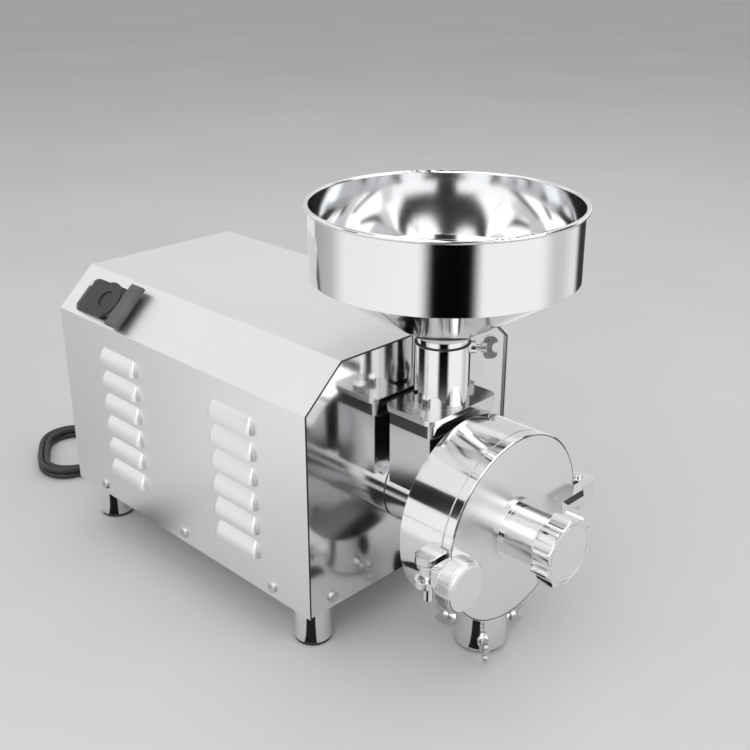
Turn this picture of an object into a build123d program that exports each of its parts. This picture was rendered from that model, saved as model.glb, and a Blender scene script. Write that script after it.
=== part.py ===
from build123d import *
from math import atan2, cos, degrees, pi, radians, sin, tan
import os

# Electric flour mill: a stone grinding head on the front of a sheet metal cabinet with the motor in it.
# Millimetres. +X runs from the rear panel to the knob, +Z is up, the switch is on the -Y side.
# The origin is on the floor under the middle of the machine, the free cord left out.

# Cabinet
cabinet_length = 404.0
cabinet_width = 280.0
cabinet_height = 250.5
shoulder_height = 210.5
shoulder_run = 44.0
sheet = 1.5
panel_recess = 2.0
rear_recess = 3.2
panel_play = 0.2
base_thickness = 3.0
flange_height = 24.0
tray_notch_play = 2.0
overcut = 1.0

# Louvres, pressed out of both side walls
louvre_length = 67.0
louvre_height = 17.5
louvre_depth = 6.5
louvre_wall = 1.0
louvre_pitch = 26.4
louvre_rows = 6
louvre_low = 37.0
louvre_columns = (111.0, 300.0)
louvre_arc_out = 0.86
louvre_arc_up = 0.45
louvre_room_taper = 0.6

# Cabinet screws
screw_head_radius = 6.0
screw_head_height = 2.6
screw_shank_radius = 2.4
screw_shank_length = 8.0
screw_play = 0.15
screw_head_round = 1.8
screw_slot_length = 5.4
screw_slot_width = 1.2
screw_slot_turns = (45, 135)
side_screw_places = (56.5, 206.9, 349.4)
screw_height = 11.5
end_screw_side = 109.3

# Feet
foot_radius = 18.5
foot_height = 45.0
foot_inset_x = 28.5
foot_inset_y = 28.0
pad_height = 3.0
pad_radius = 17.8
stud_radius = 4.0
stud_play = 0.2
nut_flats = 13.0
nut_height = 6.5
stud_spare = 3.0

# Drive line
shaft_height = 94.0
spindle_radius = 12.5
motor_shaft_radius = 9.5
running_play = 0.05
bearing_radius = 26.0
bearing_width = 15.0
housing_radius = 36.0
housing_length = 72.0
housing_foot_width = 110.0
housing_foot_thickness = 10.0
seal_width = 5.0
coupling_radius = 27.0
coupling_hub_length = 26.0
coupling_gap = 16.0
coupling_setback = 8.0
jaw_width = 10.0
jaw_root = 17.0
jaw_length = 14.0
jaw_inset = 1.0
coupling_jaws = 3
jaw_turn = 360.0 / coupling_jaws
spider_ring = 14.0
spider_bore = 8.0
spider_leg_width = 5.0
spider_leg_root = 12.0
housing_bolt_inset = 14.0
housing_web_width = 43.2
housing_bore_play = 3.0
spindle_thread_radius = 7.5
spindle_spare = 2.0

# Motor
motor_radius = 76.0
motor_wall = 6.0
motor_length = 120.0
motor_setback = 10.0
shield_thickness = 14.0
stator_bore = 42.0
air_gap = 0.5
winding_overhang = 16.0
winding_radius = 64.0
motor_bearing_radius = 20.0
motor_bearing_width = 12.0
motor_foot_width = 130.0
motor_foot_thickness = 12.0
cowl_length = 50.0
cowl_wall = 1.5
fan_radius = 64.0
fan_width = 18.0
fan_blades = 7
bolt_radius = 4.0
bolt_head_height = 5.5
bolt_edge = 10.0
motor_leg_inset = 12.0
motor_leg_length = 20.0
motor_web_width = 71.5
motor_web_drop = 53.2
winding_step = 4.0
winding_clear = 3.0
motor_bearing_setback = 1.0
shaft_rear_setback = 14.0
shaft_end_setback = 2.0
fan_setback = 18.0
fan_hub_radius = 16.0
fan_disc_thickness = 3.0
fan_blade_thickness = 3.0
cowl_slot_circles = (24.0, 40.0, 56.0)
cowl_slot_radius = 5.0
cowl_slot_count = 12
capacitor_radius = 20.0
capacitor_length = 80.0
capacitor_side = 36.0
capacitor_lift = 2.0
capacitor_setback = 20.0
strap_width = 16.0
strap_thickness = 1.2
strap_foot = 2.0
strap_inner = 34.0
strap_outer = 20.0
terminal_length = 60.0
terminal_width = 64.0
terminal_height = 26.0
terminal_setback = 20.0
terminal_seat = 3.0

# Neck, feed box and feed tube
neck_length = 67.5
neck_radius = 40.0
neck_bore = 34.0
neck_flange_radius = 54.0
neck_flange = 8.0
neck_flange_play = 0.5
panel_hole_play = 1.0
feed_centre = 33.0
feed_box_length = 50.0
feed_box_width = 86.0
feed_box_wall = 4.0
feed_box_top = 176.0
collar_height = 13.0
collar_length = 56.0
collar_width = 90.0
collar_corner = 7.0
collar_lip = 2.0
collar_pillar_radius = 7.0
plate_length = 60.0
plate_width = 94.0
plate_thickness = 5.0
plate_corner = 9.0
feed_tube_radius = 26.0
feed_tube_wall = 1.2
feed_tube_top = 251.5
feed_bolt_side = 37.0
feed_bolt_lift = 2.0
neck_bore_play = 0.5
auger_core = 17.0
auger_play = 1.0
auger_pitch = 30.0
flight_thickness = 4.0
auger_blades = 10
auger_lap = 2.0
auger_blade_share = 0.62
auger_end_gap = 1.0

# Hopper
hopper_radius = 120.6
hopper_sheet = 1.2
hopper_bead = 4.5
hopper_top = 382.0
hopper_shoulder = 317.5
hopper_cone_low = 258.0
hopper_spout_play = 0.4
hopper_seat = 3.0
seat_gap = 0.3
hopper_cone_offset = 0.72
thumb_screw_height = 246.0
thumb_screw_turn = 45.0

# Grinding drum, stones and cover
drum_radius = 91.3
drum_wall = 7.3
drum_back = 6.0
drum_depth = 47.9
rotor_gap = 3.0
rotor_thickness = 6.0
window_radius = 7.0
window_circle = 27.5
window_count = 6
stone_radius = 78.0
stone_thickness = 11.0
stone_eye = 36.0
stone_gap = 0.6
standing_stone_thickness = 10.0
standing_stone_eye = 30.0
back_plate_thickness = 5.0
back_plate_radius = 76.0
spindle_nut_thickness = 7.0
spindle_nut_flats = 19.0
gasket_thickness = 1.0
gasket_inset = 1.0
gasket_width = 5.0
cover_thickness = 10.0
cover_edge = 1.0
cover_clearance = 0.6

# Fineness adjuster
hub_radius = 25.0
hub_length = 40.3
hub_ring_radius = 30.0
hub_ring_thickness = 3.0
adjust_radius = 8.0
adjust_travel = 4.0
adjust_end = 13.0
guide_radius = 4.0
guide_circle = 56.0
guide_reach = 4.1
guide_spare = 0.5
knob_gap = 0.3
knob_thickness = 19.0
knob_radius = 33.7
knob_flutes = 10
flute_radius = 16.0
flute_depth = 4.0
flute_edge = 1.0
knob_edge = 1.2
knob_groove_radius = 27.5
knob_groove = 0.6
knob_groove_width = 1.0

# Left clamp
lug_thickness = 7.0
lug_gap = 10.0
lug_reach = 117.0
ear_reach = 115.0
lug_back = 11.4
lug_front = 8.0
lug_root = 82.0
post_radius = 4.5
post_side = 103.5
post_setback = 2.0
post_top = 108.0
post_bottom = 62.0
post_block_radius = 8.5
clamp_play = 0.4
ear_thickness = 11.6
ear_inner = 74.0
ear_low = 83.0
ear_high = 105.0
ear_corner = 3.0
washer_play = 0.1
washer_thickness = 1.6
washer_radius = 9.0
clamp_screw_radius = 5.0
clamp_screw_engaged = 12.0
clamp_knob_radius = 23.5
clamp_knob_thickness = 18.2
clamp_knob_edge = 5.0
clamp_knob_back_edge = 2.5
clamp_seat_share = 0.7
body_play = 0.3

# Right hinge
hinge_side = 111.0
hinge_pin_radius = 4.0
knuckle_radius = 9.5
knuckle_height = 7.5
lug_knuckle_height = 9.0
hinge_drop = 4.0
hinge_arm_thickness = 8.0
drum_arm_back = 14.5
drum_arm_front = 2.0
drum_arm_root = 86.7
lug_knuckle_radius = 8.5
hinge_block_inner = 58.0
hinge_block_outer = 92.0
hinge_block_thickness = 13.6
hinge_block_height = 16.0
hinge_block_bevel = 4.0
pin_head_radius = 6.0
pin_head_height = 2.0

# Flour outlet
outlet_x = 24.5
outlet_radius = 25.0
outlet_wall = 2.5
chute_play = 0.3
chute_drop = 55.0
spout_drop = 64.0
outlet_floor_gap = 3.0
outlet_screw_height = 15.0
outlet_screw_turns = (-45.0, 75.0, 195.0)
boss_radius = 6.0
boss_height = 4.0
boss_sink = 0.5
thumb_radius = 3.0
thumb_collar_radius = 5.0
thumb_collar_height = 5.0
wing_span = 22.0
wing_height = 13.0
wing_thickness = 4.0
thumb_stand_off = 5.0
wing_lap = 2.0
wing_corner = 5.0
wing_notch_radius = 5.0

# Switch on the near shoulder, placed along the cabinet and up the shoulder
switch_rear = 25.0
switch_length = 85.0
switch_low = 5.0
switch_width = 41.0
switch_corner = 6.0
switch_plate = 2.5
switch_step = 8.0
switch_body_height = 2.7
switch_axis_x = 75.0
switch_axis_up = 26.0
handle_hub_radius = 21.0
handle_hub_height = 4.5
handle_bar_width = 20.0
handle_bar_length = 51.0
handle_bar_low = 1.5
handle_bar_x = 98.0
handle_bar_height = 5.5
handle_web_width = 34.0
hub_cap_radius = 9.5
hub_cap_depth = 2.5
stem_radius = 5.0
contact_length = 55.0
contact_width = 30.0
contact_depth = 34.0
switch_screw_radius = 3.0
switch_screw_inset_x = 4.0
switch_screw_inset_up = 8.0
switch_shank_radius = 1.5
switch_screw_clear = 0.5
switch_screw_head = 1.5
handle_web_height = 3.6
handle_bar_bevel = 1.5
handle_lap = 1.0
hub_cap_play = 0.1
hub_cap_height = 1.25

# Mains cord
cord_radius = 3.6
cord_floor = 3.8
gland_side = 44.0
gland_height = 80.0
gland_reach = 25.0
gland_base_radius = 9.0
gland_nose_radius = 5.0
gland_flange_radius = 12.0
gland_flange = 3.0
gland_step = 1.0
gland_inside = 4.0
coil_centre = (-428.0, -77.0)
coil_turn = 148.0
coil_half_straight = 26.0
coil_inner_bend = 31.0
coil_turns_wide = 2
coil_turns_high = 2
bend_share = 0.45
lead_points = (
    (-320.0, 44.0, 80.0),
    (-357.0, 44.0, 80.0),
    (-381.0, 20.0, 60.0),
    (-379.0, -20.0, 25.0),
    (-364.0, -62.0, 3.8),
    (-374.0, -104.0, 3.8),
)
tail_points = (
    (-481.0, -49.0, 3.8),
    (-474.0, -14.0, 3.8),
    (-462.0, 20.0, 13.0),
    (-451.0, 52.0, 13.0),
)
plug_radius = 12.8
plug_nose_radius = 5.5
plug_sleeve = 18.0
plug_sleeve_radius = 10.2
plug_corner = 7.7
plug_edge = 3.0
plug_body_length = 30.0
plug_body_half_width = 15.0
blade_length = 17.0
blade_width = 6.5
blade_thickness = 1.5
blade_spacing = 12.7
earth_pin_radius = 2.4
earth_pin_drop = 6.0
blade_lift = 3.0
blade_root = 2.0

# Places that follow from the sizes above
machine_length = (cabinet_length + neck_length + drum_depth + gasket_thickness + cover_thickness
                  + hub_length + knob_gap + knob_thickness)
rear_x = -machine_length / 2
front_x = rear_x + cabinet_length
panel_front_x = front_x - panel_recess
panel_back_x = panel_front_x - sheet
rear_panel_x = rear_x + rear_recess
rear_panel_inner_x = rear_panel_x + sheet
drum_back_x = front_x + neck_length
drum_front_x = drum_back_x + drum_depth
cover_back_x = drum_front_x + gasket_thickness
cover_front_x = cover_back_x + cover_thickness
hub_front_x = cover_front_x + hub_length
knob_back_x = hub_front_x + knob_gap
axis_z = foot_height + shaft_height
half_width = cabinet_width / 2
inner_half = half_width - sheet
floor_top = foot_height + base_thickness
neck_flange_front = panel_back_x - neck_flange_play
housing_front_x = neck_flange_front - neck_flange
housing_rear_x = housing_front_x - housing_length
mill_hub_front = housing_rear_x - coupling_setback
mill_hub_rear = mill_hub_front - coupling_hub_length
motor_hub_front = mill_hub_rear - coupling_gap
motor_hub_rear = motor_hub_front - coupling_hub_length
motor_front_x = motor_hub_rear - motor_setback
frame_front_x = motor_front_x - shield_thickness
frame_rear_x = frame_front_x - motor_length
motor_rear_x = frame_rear_x - shield_thickness
cowl_rear_x = motor_rear_x - cowl_length
rotor_back_x = drum_back_x + drum_back + rotor_gap
rotor_front_x = rotor_back_x + rotor_thickness
stone_front_x = rotor_front_x + stone_thickness
standing_back_x = stone_front_x + stone_gap
standing_front_x = standing_back_x + standing_stone_thickness
back_plate_front_x = standing_front_x + back_plate_thickness
feed_x = front_x + feed_centre
plate_low_z = foot_height + feed_box_top + collar_height
plate_top_z = plate_low_z + plate_thickness
spout_outer = feed_tube_radius - feed_tube_wall - hopper_spout_play
outlet_axis_x = drum_back_x + outlet_x
clamp_z = axis_z
post_x = drum_front_x - post_setback
hinge_x = drum_front_x
hinge_z = axis_z - hinge_drop
shoulder_rise = cabinet_height - shoulder_height
shoulder_tilt = degrees(atan2(shoulder_rise, shoulder_run))
cord_diameter = 2 * cord_radius


def block(x, y, z):
    """A box from the low and high value along each axis."""
    size = [high - low for low, high in (x, y, z)]
    middle = [(high + low) / 2 for low, high in (x, y, z)]
    return Pos(*middle) * Box(*size)


def rod(axis, radius, ends, centre):
    """A round bar along axis, between two ends, through the two other coordinates in centre."""
    length = ends[1] - ends[0]
    middle = (ends[0] + ends[1]) / 2
    bar = Cylinder(radius, length)
    if axis == "x":
        return Pos(middle, centre[0], centre[1]) * Rot(0, 90, 0) * bar
    if axis == "y":
        return Pos(centre[0], middle, centre[1]) * Rot(90, 0, 0) * bar
    return Pos(centre[0], centre[1], middle) * bar


def shaft(radius, ends):
    """A round bar on the drive axis."""
    return rod("x", radius, ends, (0, axis_z))


def ring(outer, inner, ends):
    """A ring on the drive axis."""
    return shaft(outer, ends) - shaft(inner, ends)


def hexagon(axis, flats, ends, centre):
    """A hexagonal bar, as a nut or a bolt head."""
    length = ends[1] - ends[0]
    bar = extrude(RegularPolygon(flats / 2, 6, major_radius=False), length)
    if axis == "x":
        return Pos(ends[0], centre[0], centre[1]) * Rot(0, 90, 0) * bar
    return Pos(centre[0], centre[1], ends[0]) * bar


def around_shaft(shape, count, first=0.0):
    """Copies of a shape at even turns about the drive axis."""
    step = 360.0 / count
    turn = Pos(0, 0, axis_z) * Rot(first, 0, 0)
    return [turn * (Rot(k * step, 0, 0) * shape) for k in range(count)]


def mirrored(shape):
    """The same shape on the other side of the machine."""
    return mirror(shape, Plane.XZ)


def cabinet_section(inset):
    """The cabinet's cross-section in the YZ plane, each wall moved in by inset."""
    corner = inset * tan(radians(shoulder_tilt) / 2)
    top_corner = inset * tan(radians(90 - shoulder_tilt) / 2)
    half = half_width - inset
    shoulder = foot_height + shoulder_height - inset * tan(radians(90 - shoulder_tilt) / 2)
    top = foot_height + cabinet_height - inset
    flat = half_width - shoulder_run - corner
    low = foot_height
    outline = Polyline(
        (0, -half, low), (0, -half, shoulder), (0, -flat, top),
        (0, flat, top), (0, half, shoulder), (0, half, low), close=True)
    return make_face(outline)


def cabinet_prism(inset, ends):
    """The cabinet's section run along X between two ends."""
    face = cabinet_section(inset)
    return Pos(ends[0], 0, 0) * extrude(face, ends[1] - ends[0], dir=(1, 0, 0))


def louvre_form(depth, height, half_length, back):
    """One hood on the wall plane y = 0, bulging to -Y, its foot at z = 0 and its middle at x = 0."""
    straight = half_length - depth
    arc = ThreePointArc((0, -depth, 0), (0, -depth * louvre_arc_out, height * louvre_arc_up), (0, 0, height))
    wall = Polyline((0, 0, height), (0, 0, 0), (0, -depth, 0))
    section = make_face(arc + wall)
    middle = Pos(-straight, 0, 0) * extrude(section, 2 * straight, dir=(1, 0, 0))
    end = revolve(section, Axis.Z, 90)
    other_end = revolve(section, Axis.Z, -90)
    form = middle + Pos(straight, 0, 0) * end + Pos(-straight, 0, 0) * other_end
    if back > 0:
        taper = depth * louvre_room_taper
        form = form + block((-half_length + taper, half_length - taper), (0, back), (0, height - taper))
    return form


def louvre_places():
    """The foot of each louvre, as x and z."""
    places = []
    for column in louvre_columns:
        for row in range(louvre_rows):
            places.append((rear_x + column, foot_height + louvre_low + row * louvre_pitch))
    return places


def side_screw_centres():
    """Each side screw's x, on both sides of the cabinet."""
    return [(rear_x + place, side) for side in (-1, 1) for place in side_screw_places]


def on_shoulder(shape):
    """Puts a shape drawn along the cabinet (x), up the shoulder (y) and off it (z) in its place."""
    corner = Pos(rear_x, -half_width, foot_height + shoulder_height)
    return corner * Rot(shoulder_tilt, 0, 0) * shape


def cabinet_shell():
    hood = louvre_form(louvre_depth, louvre_height, louvre_length / 2, 0)
    room = louvre_form(louvre_depth - louvre_wall, louvre_height - 2 * louvre_wall,
                       louvre_length / 2 - louvre_wall, sheet)
    outer = cabinet_prism(0, (rear_x, front_x))
    inner = cabinet_prism(sheet, (rear_x, front_x))
    below = block((rear_x, front_x), (-inner_half, inner_half), (foot_height - sheet, floor_top))
    shell = outer - inner - below
    hoods = []
    rooms = []
    for x, z in louvre_places():
        near = Pos(x, -half_width, z)
        hoods.append(near * hood)
        rooms.append(near * room)
        hoods.append(mirrored(near * hood))
        rooms.append(mirrored(near * room))
    shell = shell + hoods
    shell = shell - rooms
    holes = []
    for x, side in side_screw_centres():
        ends = sorted((side * (half_width + overcut), side * (inner_half - overcut)))
        holes.append(rod("y", screw_shank_radius + screw_play, ends, (x, foot_height + screw_height)))
    holes.append(on_shoulder(contact_form(screw_play, sheet)))
    for x, up in switch_screw_places():
        holes.append(on_shoulder(rod("z", switch_shank_radius + screw_play, (-2 * sheet, sheet), (x, up))))
    return shell - holes


def end_panel(ends, hole):
    panel = cabinet_prism(sheet + panel_play, ends) - hole
    for side in (-1, 1):
        centre = (side * end_screw_side, foot_height + screw_height)
        panel = panel - rod("x", screw_shank_radius + screw_play, ends, centre)
    return panel


def front_panel():
    hole = rod("x", neck_radius + panel_hole_play, (panel_back_x, panel_front_x), (0, axis_z))
    return end_panel((panel_back_x, panel_front_x), hole)


def rear_panel():
    ends = (rear_panel_x, rear_panel_inner_x)
    hole = rod("x", gland_base_radius - gland_step + panel_play, ends, (gland_side, gland_height))
    return end_panel(ends, hole)


def base_tray():
    half = inner_half - panel_play
    ends = (rear_panel_inner_x + panel_play, panel_back_x - panel_play)
    tray = block(ends, (-half, half), (foot_height, foot_height + flange_height))
    wall = base_thickness / 2
    room = block((ends[0] + wall, ends[1] - wall), (-half + wall, half - wall),
                 (floor_top, foot_height + flange_height))
    notch_half = neck_flange_radius + tray_notch_play
    notch = block((ends[1] - wall, ends[1]), (-notch_half, notch_half),
                  (floor_top, foot_height + flange_height))
    tray = tray - room - notch
    holes = []
    for x, side in side_screw_centres():
        reach = sorted((side * (half + overcut), side * (half - 2 * wall)))
        holes.append(rod("y", screw_shank_radius + screw_play, reach, (x, foot_height + screw_height)))
    for x in ends:
        for side in (-1, 1):
            centre = (side * end_screw_side, foot_height + screw_height)
            holes.append(rod("x", screw_shank_radius + screw_play, (x - 2 * wall, x + 2 * wall), centre))
    for x, y in foot_centres():
        holes.append(rod("z", stud_radius + stud_play, (foot_height - overcut, floor_top + overcut), (x, y)))
    for x, y in motor_bolt_places() + housing_bolt_places():
        holes.append(rod("z", bolt_radius + stud_play, (foot_height - overcut, floor_top + overcut), (x, y)))
    return tray - holes


def foot_centres():
    low = rear_x + foot_inset_x
    high = front_x - foot_inset_x
    side = half_width - foot_inset_y
    return [(low, -side), (low, side), (high, -side), (high, side)]


def foot(x, y):
    body = rod("z", foot_radius, (pad_height, foot_height), (x, y))
    stud = rod("z", stud_radius, (foot_height, floor_top + nut_height + stud_spare), (x, y))
    return body + stud


def foot_pads():
    return [rod("z", pad_radius, (0, pad_height), centre) for centre in foot_centres()]


def nut(x, y, low):
    body = hexagon("z", nut_flats, (low, low + nut_height), (x, y))
    return body - rod("z", stud_radius + running_play, (low, low + nut_height), (x, y))


def base_bolts():
    """The foot nuts, and the bolts and nuts that hold the motor and the bearing housing."""
    feet_nuts = [nut(x, y, floor_top) for x, y in foot_centres()]
    motor_set = foot_bolts(motor_bolt_places(), floor_top + motor_foot_thickness)
    housing_set = foot_bolts(housing_bolt_places(), floor_top + housing_foot_thickness)
    return feet_nuts + motor_set + housing_set


def pan_screw():
    """A cross-head screw with its seat at z = 0 and its head to +Z."""
    head = Cylinder(screw_head_radius, screw_head_height)
    head = fillet(head.edges().group_by(Axis.Z)[-1], screw_head_round)
    head = Pos(0, 0, screw_head_height / 2) * head
    shank = Pos(0, 0, -screw_shank_length / 2) * Cylinder(screw_shank_radius, screw_shank_length)
    slot = Box(screw_slot_length, screw_slot_width, screw_head_height)
    slots = [Pos(0, 0, screw_head_height) * Rot(0, 0, turn) * slot for turn in screw_slot_turns]
    return head + shank - slots


def cabinet_screws():
    screw = pan_screw()
    screws = []
    for x, side in side_screw_centres():
        screws.append(Pos(x, side * half_width, foot_height + screw_height) * Rot(-90 * side, 0, 0) * screw)
    for side in (-1, 1):
        y = side * end_screw_side
        screws.append(Pos(panel_front_x, y, foot_height + screw_height) * Rot(0, 90, 0) * screw)
        screws.append(Pos(rear_panel_x, y, foot_height + screw_height) * Rot(0, -90, 0) * screw)
    return screws


def motor_frame():
    ends = (frame_rear_x, frame_front_x)
    body = ring(motor_radius, motor_radius - motor_wall, ends)
    foot_top = floor_top + motor_foot_thickness
    for x in (ends[0] + motor_leg_inset, ends[1] - motor_leg_inset - motor_leg_length):
        half = motor_foot_width / 2
        leg = block((x, x + motor_leg_length), (-half, half), (floor_top, foot_top))
        web = block((x, x + motor_leg_length), (-motor_web_width / 2, motor_web_width / 2),
                    (floor_top, axis_z - motor_web_drop))
        body = body + (leg + web - shaft(motor_radius - motor_wall / 2, ends))
    for x, y in motor_bolt_places():
        body = body - rod("z", bolt_radius + stud_play, (floor_top, foot_top), (x, y))
    return body


def motor_bolt_places():
    side = motor_foot_width / 2 - bolt_edge
    inset = motor_leg_inset + motor_leg_length / 2
    return [(x, y) for x in (frame_rear_x + inset, frame_front_x - inset) for y in (-side, side)]


def housing_bolt_places():
    side = housing_foot_width / 2 - bolt_edge
    inset = housing_bolt_inset
    return [(x, y) for x in (housing_rear_x + inset, housing_front_x - inset) for y in (-side, side)]


def foot_bolts(places, top):
    """Bolts up through the base tray, with their nuts on the feet of what they hold."""
    bolts = []
    for x, y in places:
        head = hexagon("z", nut_flats, (foot_height - bolt_head_height, foot_height), (x, y))
        end = top + nut_height + stud_spare
        bolts.append(head + rod("z", bolt_radius, (foot_height, end), (x, y)))
        bolts.append(nut(x, y, top))
    return bolts


def motor_stator():
    middle = (frame_rear_x + winding_overhang, frame_front_x - winding_overhang)
    core = ring(motor_radius - motor_wall, stator_bore, middle)
    windings = ring(winding_radius, stator_bore + winding_step,
                    (frame_rear_x + winding_clear, frame_front_x - winding_clear))
    return core + windings


def shield_spans():
    return [(motor_rear_x, frame_rear_x), (frame_front_x, motor_front_x)]


def end_shield(ends):
    shield = shaft(motor_radius, ends)
    shield = shield - shaft(motor_bearing_radius, ends)
    return shield


def motor_bearing(ends):
    bearing = ring(motor_bearing_radius, motor_shaft_radius + running_play, ends)
    return bearing


def motor_bearings():
    rear_low = motor_rear_x + motor_bearing_setback
    front_high = motor_front_x - motor_bearing_setback
    rear = (rear_low, rear_low + motor_bearing_width)
    front = (front_high - motor_bearing_width, front_high)
    return [motor_bearing(rear), motor_bearing(front)]


def motor_rotor():
    """The rotor's core pressed on the motor shaft."""
    ends = (frame_rear_x + winding_overhang, frame_front_x - winding_overhang)
    core = shaft(stator_bore - air_gap, ends)
    return core + shaft(motor_shaft_radius, (cowl_rear_x + shaft_rear_setback,
                                             motor_hub_front - shaft_end_setback))


def motor_fan():
    low = cowl_rear_x + fan_setback
    disc_low = low + fan_width - fan_disc_thickness
    root = fan_hub_radius - overcut
    hub = ring(fan_hub_radius, motor_shaft_radius, (low, low + fan_width))
    disc = ring(fan_radius, root, (disc_low, low + fan_width))
    half = fan_blade_thickness / 2
    blade = block((low, disc_low), (-half, half), (root, fan_radius))
    return hub + disc + around_shaft(blade, fan_blades)


def fan_cowl():
    ends = (cowl_rear_x, motor_rear_x)
    cup = shaft(motor_radius, ends)
    cup = cup - shaft(motor_radius - cowl_wall, (cowl_rear_x + cowl_wall, motor_rear_x))
    slots = []
    for radius in cowl_slot_circles:
        slot = rod("x", cowl_slot_radius, (cowl_rear_x, cowl_rear_x + cowl_wall), (0, radius))
        slots = slots + around_shaft(slot, cowl_slot_count)
    return cup - slots


def terminal_box():
    low = axis_z + motor_radius - terminal_seat
    front = frame_front_x - terminal_setback
    body = block((front - terminal_length, front), (-terminal_width / 2, terminal_width / 2),
                 (low, low + terminal_height))
    body = body - shaft(motor_radius, (frame_rear_x, frame_front_x))
    return body


def capacitor_place():
    return (half_width - capacitor_side, floor_top + capacitor_radius + capacitor_lift)


def run_capacitor():
    low = frame_rear_x + capacitor_setback
    return rod("x", capacitor_radius, (low, low + capacitor_length), capacitor_place())


def capacitor_strap():
    y, z = capacitor_place()
    x = frame_rear_x + capacitor_setback + capacitor_length / 2
    ends = (x - strap_width / 2, x + strap_width / 2)
    can = rod("x", capacitor_radius, ends, (y, z))
    band = rod("x", capacitor_radius + strap_thickness, ends, (y, z)) - can
    foot_plate = block(ends, (y - strap_inner, y + strap_outer), (floor_top, floor_top + strap_foot))
    return band + (foot_plate - can)


def coupling_hub(ends, jaw_side, bore, first):
    hub = ring(coupling_radius, bore, ends)
    jaw_ends = (ends[1], ends[1] + jaw_length) if jaw_side > 0 else (ends[0] - jaw_length, ends[0])
    jaw = block(jaw_ends, (-jaw_width / 2, jaw_width / 2), (jaw_root, coupling_radius - jaw_inset))
    return hub + around_shaft(jaw, coupling_jaws, first)


def coupling_hubs():
    motor_side = coupling_hub((motor_hub_rear, motor_hub_front), 1, motor_shaft_radius, 0)
    mill_side = coupling_hub((mill_hub_rear, mill_hub_front), -1, spindle_radius, jaw_turn / 2)
    return [motor_side, mill_side]


def coupling_spider():
    ends = (motor_hub_front, mill_hub_rear)
    core = ring(spider_ring, spider_bore, ends)
    half = spider_leg_width / 2
    leg = block(ends, (-half, half), (spider_leg_root, coupling_radius - jaw_inset))
    return core + around_shaft(leg, 2 * coupling_jaws, jaw_turn / 4)


def bearing_housing():
    ends = (housing_rear_x, housing_front_x)
    half = housing_foot_width / 2
    foot_top = floor_top + housing_foot_thickness
    body = shaft(housing_radius, ends)
    body = body + block(ends, (-half, half), (floor_top, foot_top))
    body = body + block(ends, (-housing_web_width / 2, housing_web_width / 2), (floor_top, axis_z))
    body = body - shaft(spindle_radius + housing_bore_play, ends)
    body = body - shaft(bearing_radius, (housing_rear_x, housing_rear_x + bearing_width))
    front_seat = housing_front_x - bearing_width - seal_width
    body = body - shaft(bearing_radius, (front_seat, housing_front_x))
    for x, y in housing_bolt_places():
        body = body - rod("z", bolt_radius + stud_play, (floor_top, foot_top), (x, y))
    return body


def spindle_bearings():
    starts = (housing_rear_x, housing_front_x - bearing_width - seal_width)
    inner = spindle_radius + running_play
    return [ring(bearing_radius, inner, (low, low + bearing_width)) for low in starts]


def shaft_seal():
    ends = (housing_front_x - seal_width, housing_front_x)
    return ring(bearing_radius, spindle_radius + running_play, ends)


def mill_spindle():
    body = shaft(spindle_radius, (mill_hub_rear + shaft_end_setback, rotor_front_x))
    thread_end = rotor_front_x + spindle_nut_thickness + spindle_spare
    thread = shaft(spindle_thread_radius, (rotor_front_x, thread_end))
    return body + thread


def feed_box_span():
    half = feed_box_length / 2
    return (feed_x - half, feed_x + half)


def neck_housing():
    body = shaft(neck_radius, (neck_flange_front - neck_flange, drum_back_x))
    body = body + shaft(neck_flange_radius, (neck_flange_front - neck_flange, neck_flange_front))
    box_half = feed_box_width / 2
    top = foot_height + feed_box_top
    body = body + block(feed_box_span(), (-box_half, box_half), (axis_z + neck_radius / 2, top))
    low, high = feed_box_span()
    wall = feed_box_wall
    bore_low = front_x + wall
    body = body - shaft(neck_bore, (bore_low, drum_back_x))
    body = body - shaft(spindle_radius + neck_bore_play, (neck_flange_front - neck_flange, bore_low))
    chute = block((low + wall, high - wall), (-neck_bore, neck_bore), (axis_z, top))
    upper = block((low + wall, high - wall), (-box_half + wall, box_half - wall),
                  (axis_z + neck_radius, top))
    return body - chute - upper


def feed_screw():
    """The screw that pushes the grain along the neck: a core with a flight of flat blades in steps."""
    start = front_x + feed_box_wall + auger_play
    end = rotor_back_x - auger_end_gap
    core = ring(auger_core, spindle_radius, (start, end))
    reach = (neck_bore - auger_play) * auger_blade_share
    run = drum_back_x - drum_back - start
    blades = []
    for k in range(auger_blades):
        x = start + run * k / auger_blades
        blade = block((x, x + flight_thickness + auger_lap), (0, reach), (-reach, reach))
        turn = Pos(0, 0, axis_z) * Rot(360.0 * k * run / auger_blades / auger_pitch, 0, 0)
        blades.append(turn * blade)
    return core + [blade - shaft(spindle_radius, (start - overcut, end)) for blade in blades]


def feed_collar():
    half_length = collar_length / 2
    half = collar_width / 2
    low = foot_height + feed_box_top
    span = (feed_x - half_length, feed_x + half_length)
    frame = block(span, (-half, half), (low, plate_low_z))
    edges = frame.edges().filter_by(Axis.Z)
    frame = fillet(edges, collar_corner)
    box_low, box_high = feed_box_span()
    wall = feed_box_wall
    room_half = half - wall - collar_lip
    room = block((box_low + wall, box_high - wall), (-room_half, room_half), (low, plate_low_z))
    frame = frame - room
    for side in (-1, 1):
        pillar = rod("z", collar_pillar_radius, (low, plate_low_z), (feed_x, side * feed_bolt_side))
        frame = frame + pillar
        frame = frame - rod("z", bolt_radius + stud_play, (low, plate_low_z), (feed_x, side * feed_bolt_side))
    return frame


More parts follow.
